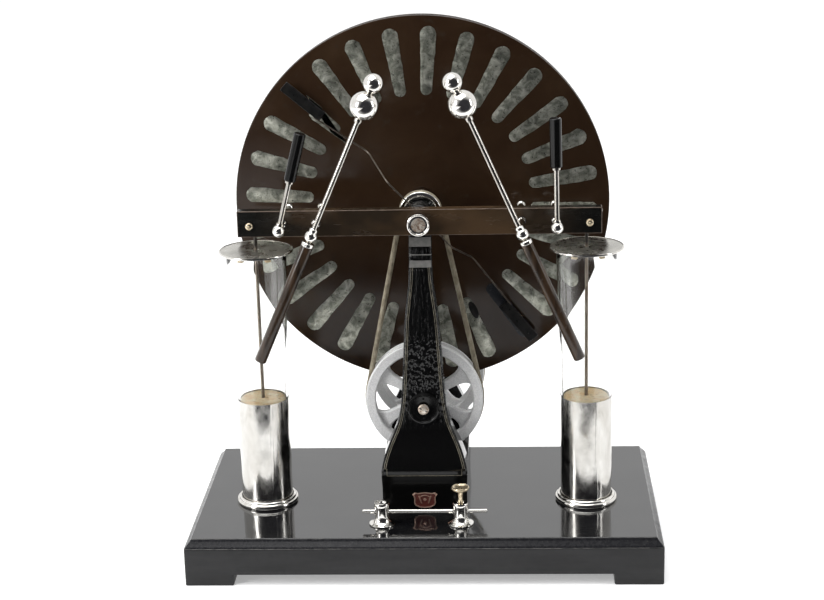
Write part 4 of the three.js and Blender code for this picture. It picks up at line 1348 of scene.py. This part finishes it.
def make_machine():
    make_base()
    make_plinth()
    make_badge()
    make_half("front", FRONT_FLARE, False, as_is)
    make_half("rear", REAR_FLARE, True, half_turn)
    make_patch()
    make_spindle()
    make_drive_shaft()
    make_crank()
    for side, sign in (("left", -1), ("right", 1)):
        make_collector(f"{side}_front_collector", sign, -DISCHARGER_Y - 3, -LEVER_Y - 3, as_is)
    for side, sign in (("left", 1), ("right", -1)):
        make_collector(f"{side}_rear_collector", sign, BAR_OUT + 3, BAR_OUT + 3, half_turn)
    make_discharger("left", -INNER_ROD_X, DISCHARGER_LEAN)
    make_discharger("right", INNER_ROD_X, -DISCHARGER_LEAN)
    for side, (x, lean, reach) in LEVERS.items():
        make_lever(side, x, lean, reach)
    make_jar("left", -JAR_X)
    make_jar("right", JAR_X)
    for side, x in TERMINAL_X.items():
        make_terminal_post(side, x)
    make_terminal_rod()
    make_thumbscrew()


# ---------------------------------------------------------------- studio, in metres

CAMERA_PLACE = Vector((0.06755, -1.48926, 0.64397))
CAMERA_PITCH = math.radians(-16.74)
CAMERA_YAW = math.radians(-3.0)
CAMERA_ROLL = math.radians(-1.45)
CAMERA_LENS = 81.73
# The floor's patches, (x0, y0, x1, y1). The gap in front lets polished parts see the dim end of the room.
FLOOR_PATCHES = ((-6, -0.36, 6, 6), (-6, -4, -0.55, -0.36))
# Name, place, target, width, height and power.
LIGHTS = (
    ("overhead", (-0.3, -0.3, 1.9), (0, 0, 0.1), 1.6, 1.6, 26),
    ("left_softbox", (-1.5, -1.1, 0.9), (0, 0, 0.2), 0.45, 0.9, 18),
    ("right_strip", (1.5, -0.5, 0.8), (0, 0, 0.2), 0.2, 1.0, 5),
)
# The direction of the room's dim end, and where along it the white ends and the dimness is complete.
DIM_DIRECTION = Vector((0.3, -0.95, 0.02)).normalized()
DIM_START = 0.12
DIM_FULL = 0.72
DIM_COLOR = (0.035, 0.035, 0.04, 1)
WHITE = (1, 1, 1, 1)


def make_camera():
    flat_right = Vector((math.cos(CAMERA_YAW), -math.sin(CAMERA_YAW), 0))
    flat_forward = Vector((math.sin(CAMERA_YAW), math.cos(CAMERA_YAW), 0))
    forward = flat_forward * math.cos(CAMERA_PITCH) + Vector((0, 0, math.sin(CAMERA_PITCH)))
    upward = flat_right.cross(forward)
    right = flat_right * math.cos(CAMERA_ROLL) + upward * math.sin(CAMERA_ROLL)
    top = upward * math.cos(CAMERA_ROLL) - flat_right * math.sin(CAMERA_ROLL)
    data = bpy.data.cameras.new("camera")
    data.sensor_width = 36
    data.lens = CAMERA_LENS
    data.clip_end = 50
    camera = bpy.data.objects.new("camera", data)
    turn = Matrix((right, top, -forward)).transposed().to_4x4()
    camera.matrix_world = Matrix.Translation(CAMERA_PLACE) @ turn
    bpy.context.scene.collection.objects.link(camera)
    bpy.context.scene.camera = camera


def make_floor():
    mesh = bpy.data.meshes.new("floor")
    corners = [corner for x0, y0, x1, y1 in FLOOR_PATCHES
               for corner in ((x0, y0, 0), (x1, y0, 0), (x1, y1, 0), (x0, y1, 0))]
    mesh.from_pydata(corners, [], [(0, 1, 2, 3), (4, 5, 6, 7)])
    floor = bpy.data.objects.new("floor", mesh)
    look = Look("floor")
    look.set(Base_Color=(0.86, 0.86, 0.86, 1), Roughness=0.6, Specular_IOR_Level=0.1, Emission_Color=WHITE,
             Emission_Strength=0.35)
    mesh.materials.append(look.material)
    bpy.context.scene.collection.objects.link(floor)


def make_light(name, place, target, width, height, power):
    data = bpy.data.lights.new(name, "AREA")
    data.shape = "RECTANGLE"
    data.size = width
    data.size_y = height
    data.energy = power
    light = bpy.data.objects.new(name, data)
    direction = Vector(target) - Vector(place)
    turn = direction.to_track_quat("-Z", "Y").to_matrix().to_4x4()
    light.matrix_world = Matrix.Translation(Vector(place)) @ turn
    bpy.context.scene.collection.objects.link(light)


def make_world():
    """A white room whose front end is dim."""
    world = bpy.data.worlds.new("studio")
    bpy.context.scene.world = world
    world.use_nodes = True
    nodes, links = world.node_tree.nodes, world.node_tree.links
    background = nodes["Background"]
    direction = nodes.new("ShaderNodeTexCoord").outputs["Generated"]
    dot = nodes.new("ShaderNodeVectorMath")
    dot.operation = "DOT_PRODUCT"
    dot.inputs[1].default_value = DIM_DIRECTION
    links.new(direction, dot.inputs[0])
    ramp = nodes.new("ShaderNodeValToRGB")
    stops = ((DIM_START, WHITE), (DIM_FULL, DIM_COLOR))
    for element, (position, color) in zip(ramp.color_ramp.elements, stops):
        element.position = position
        element.color = color
    links.new(dot.outputs["Value"], ramp.inputs["Fac"])
    rays = nodes.new("ShaderNodeLightPath")
    mix = nodes.new("ShaderNodeMix")
    mix.data_type = "RGBA"
    links.new(rays.outputs["Is Camera Ray"], mix.inputs["Factor"])
    color_inputs = [socket for socket in mix.inputs if socket.type == "RGBA"]
    links.new(ramp.outputs["Color"], color_inputs[0])
    color_inputs[1].default_value = WHITE
    mixed = next(socket for socket in mix.outputs if socket.type == "RGBA")
    links.new(mixed, background.inputs["Color"])
    background.inputs["Strength"].default_value = 1.0


def make_studio():
    make_camera()
    make_floor()
    make_world()
    for light in LIGHTS:
        make_light(*light)
    bpy.context.scene.view_settings.view_transform = "Standard"


make_studio()
make_machine()
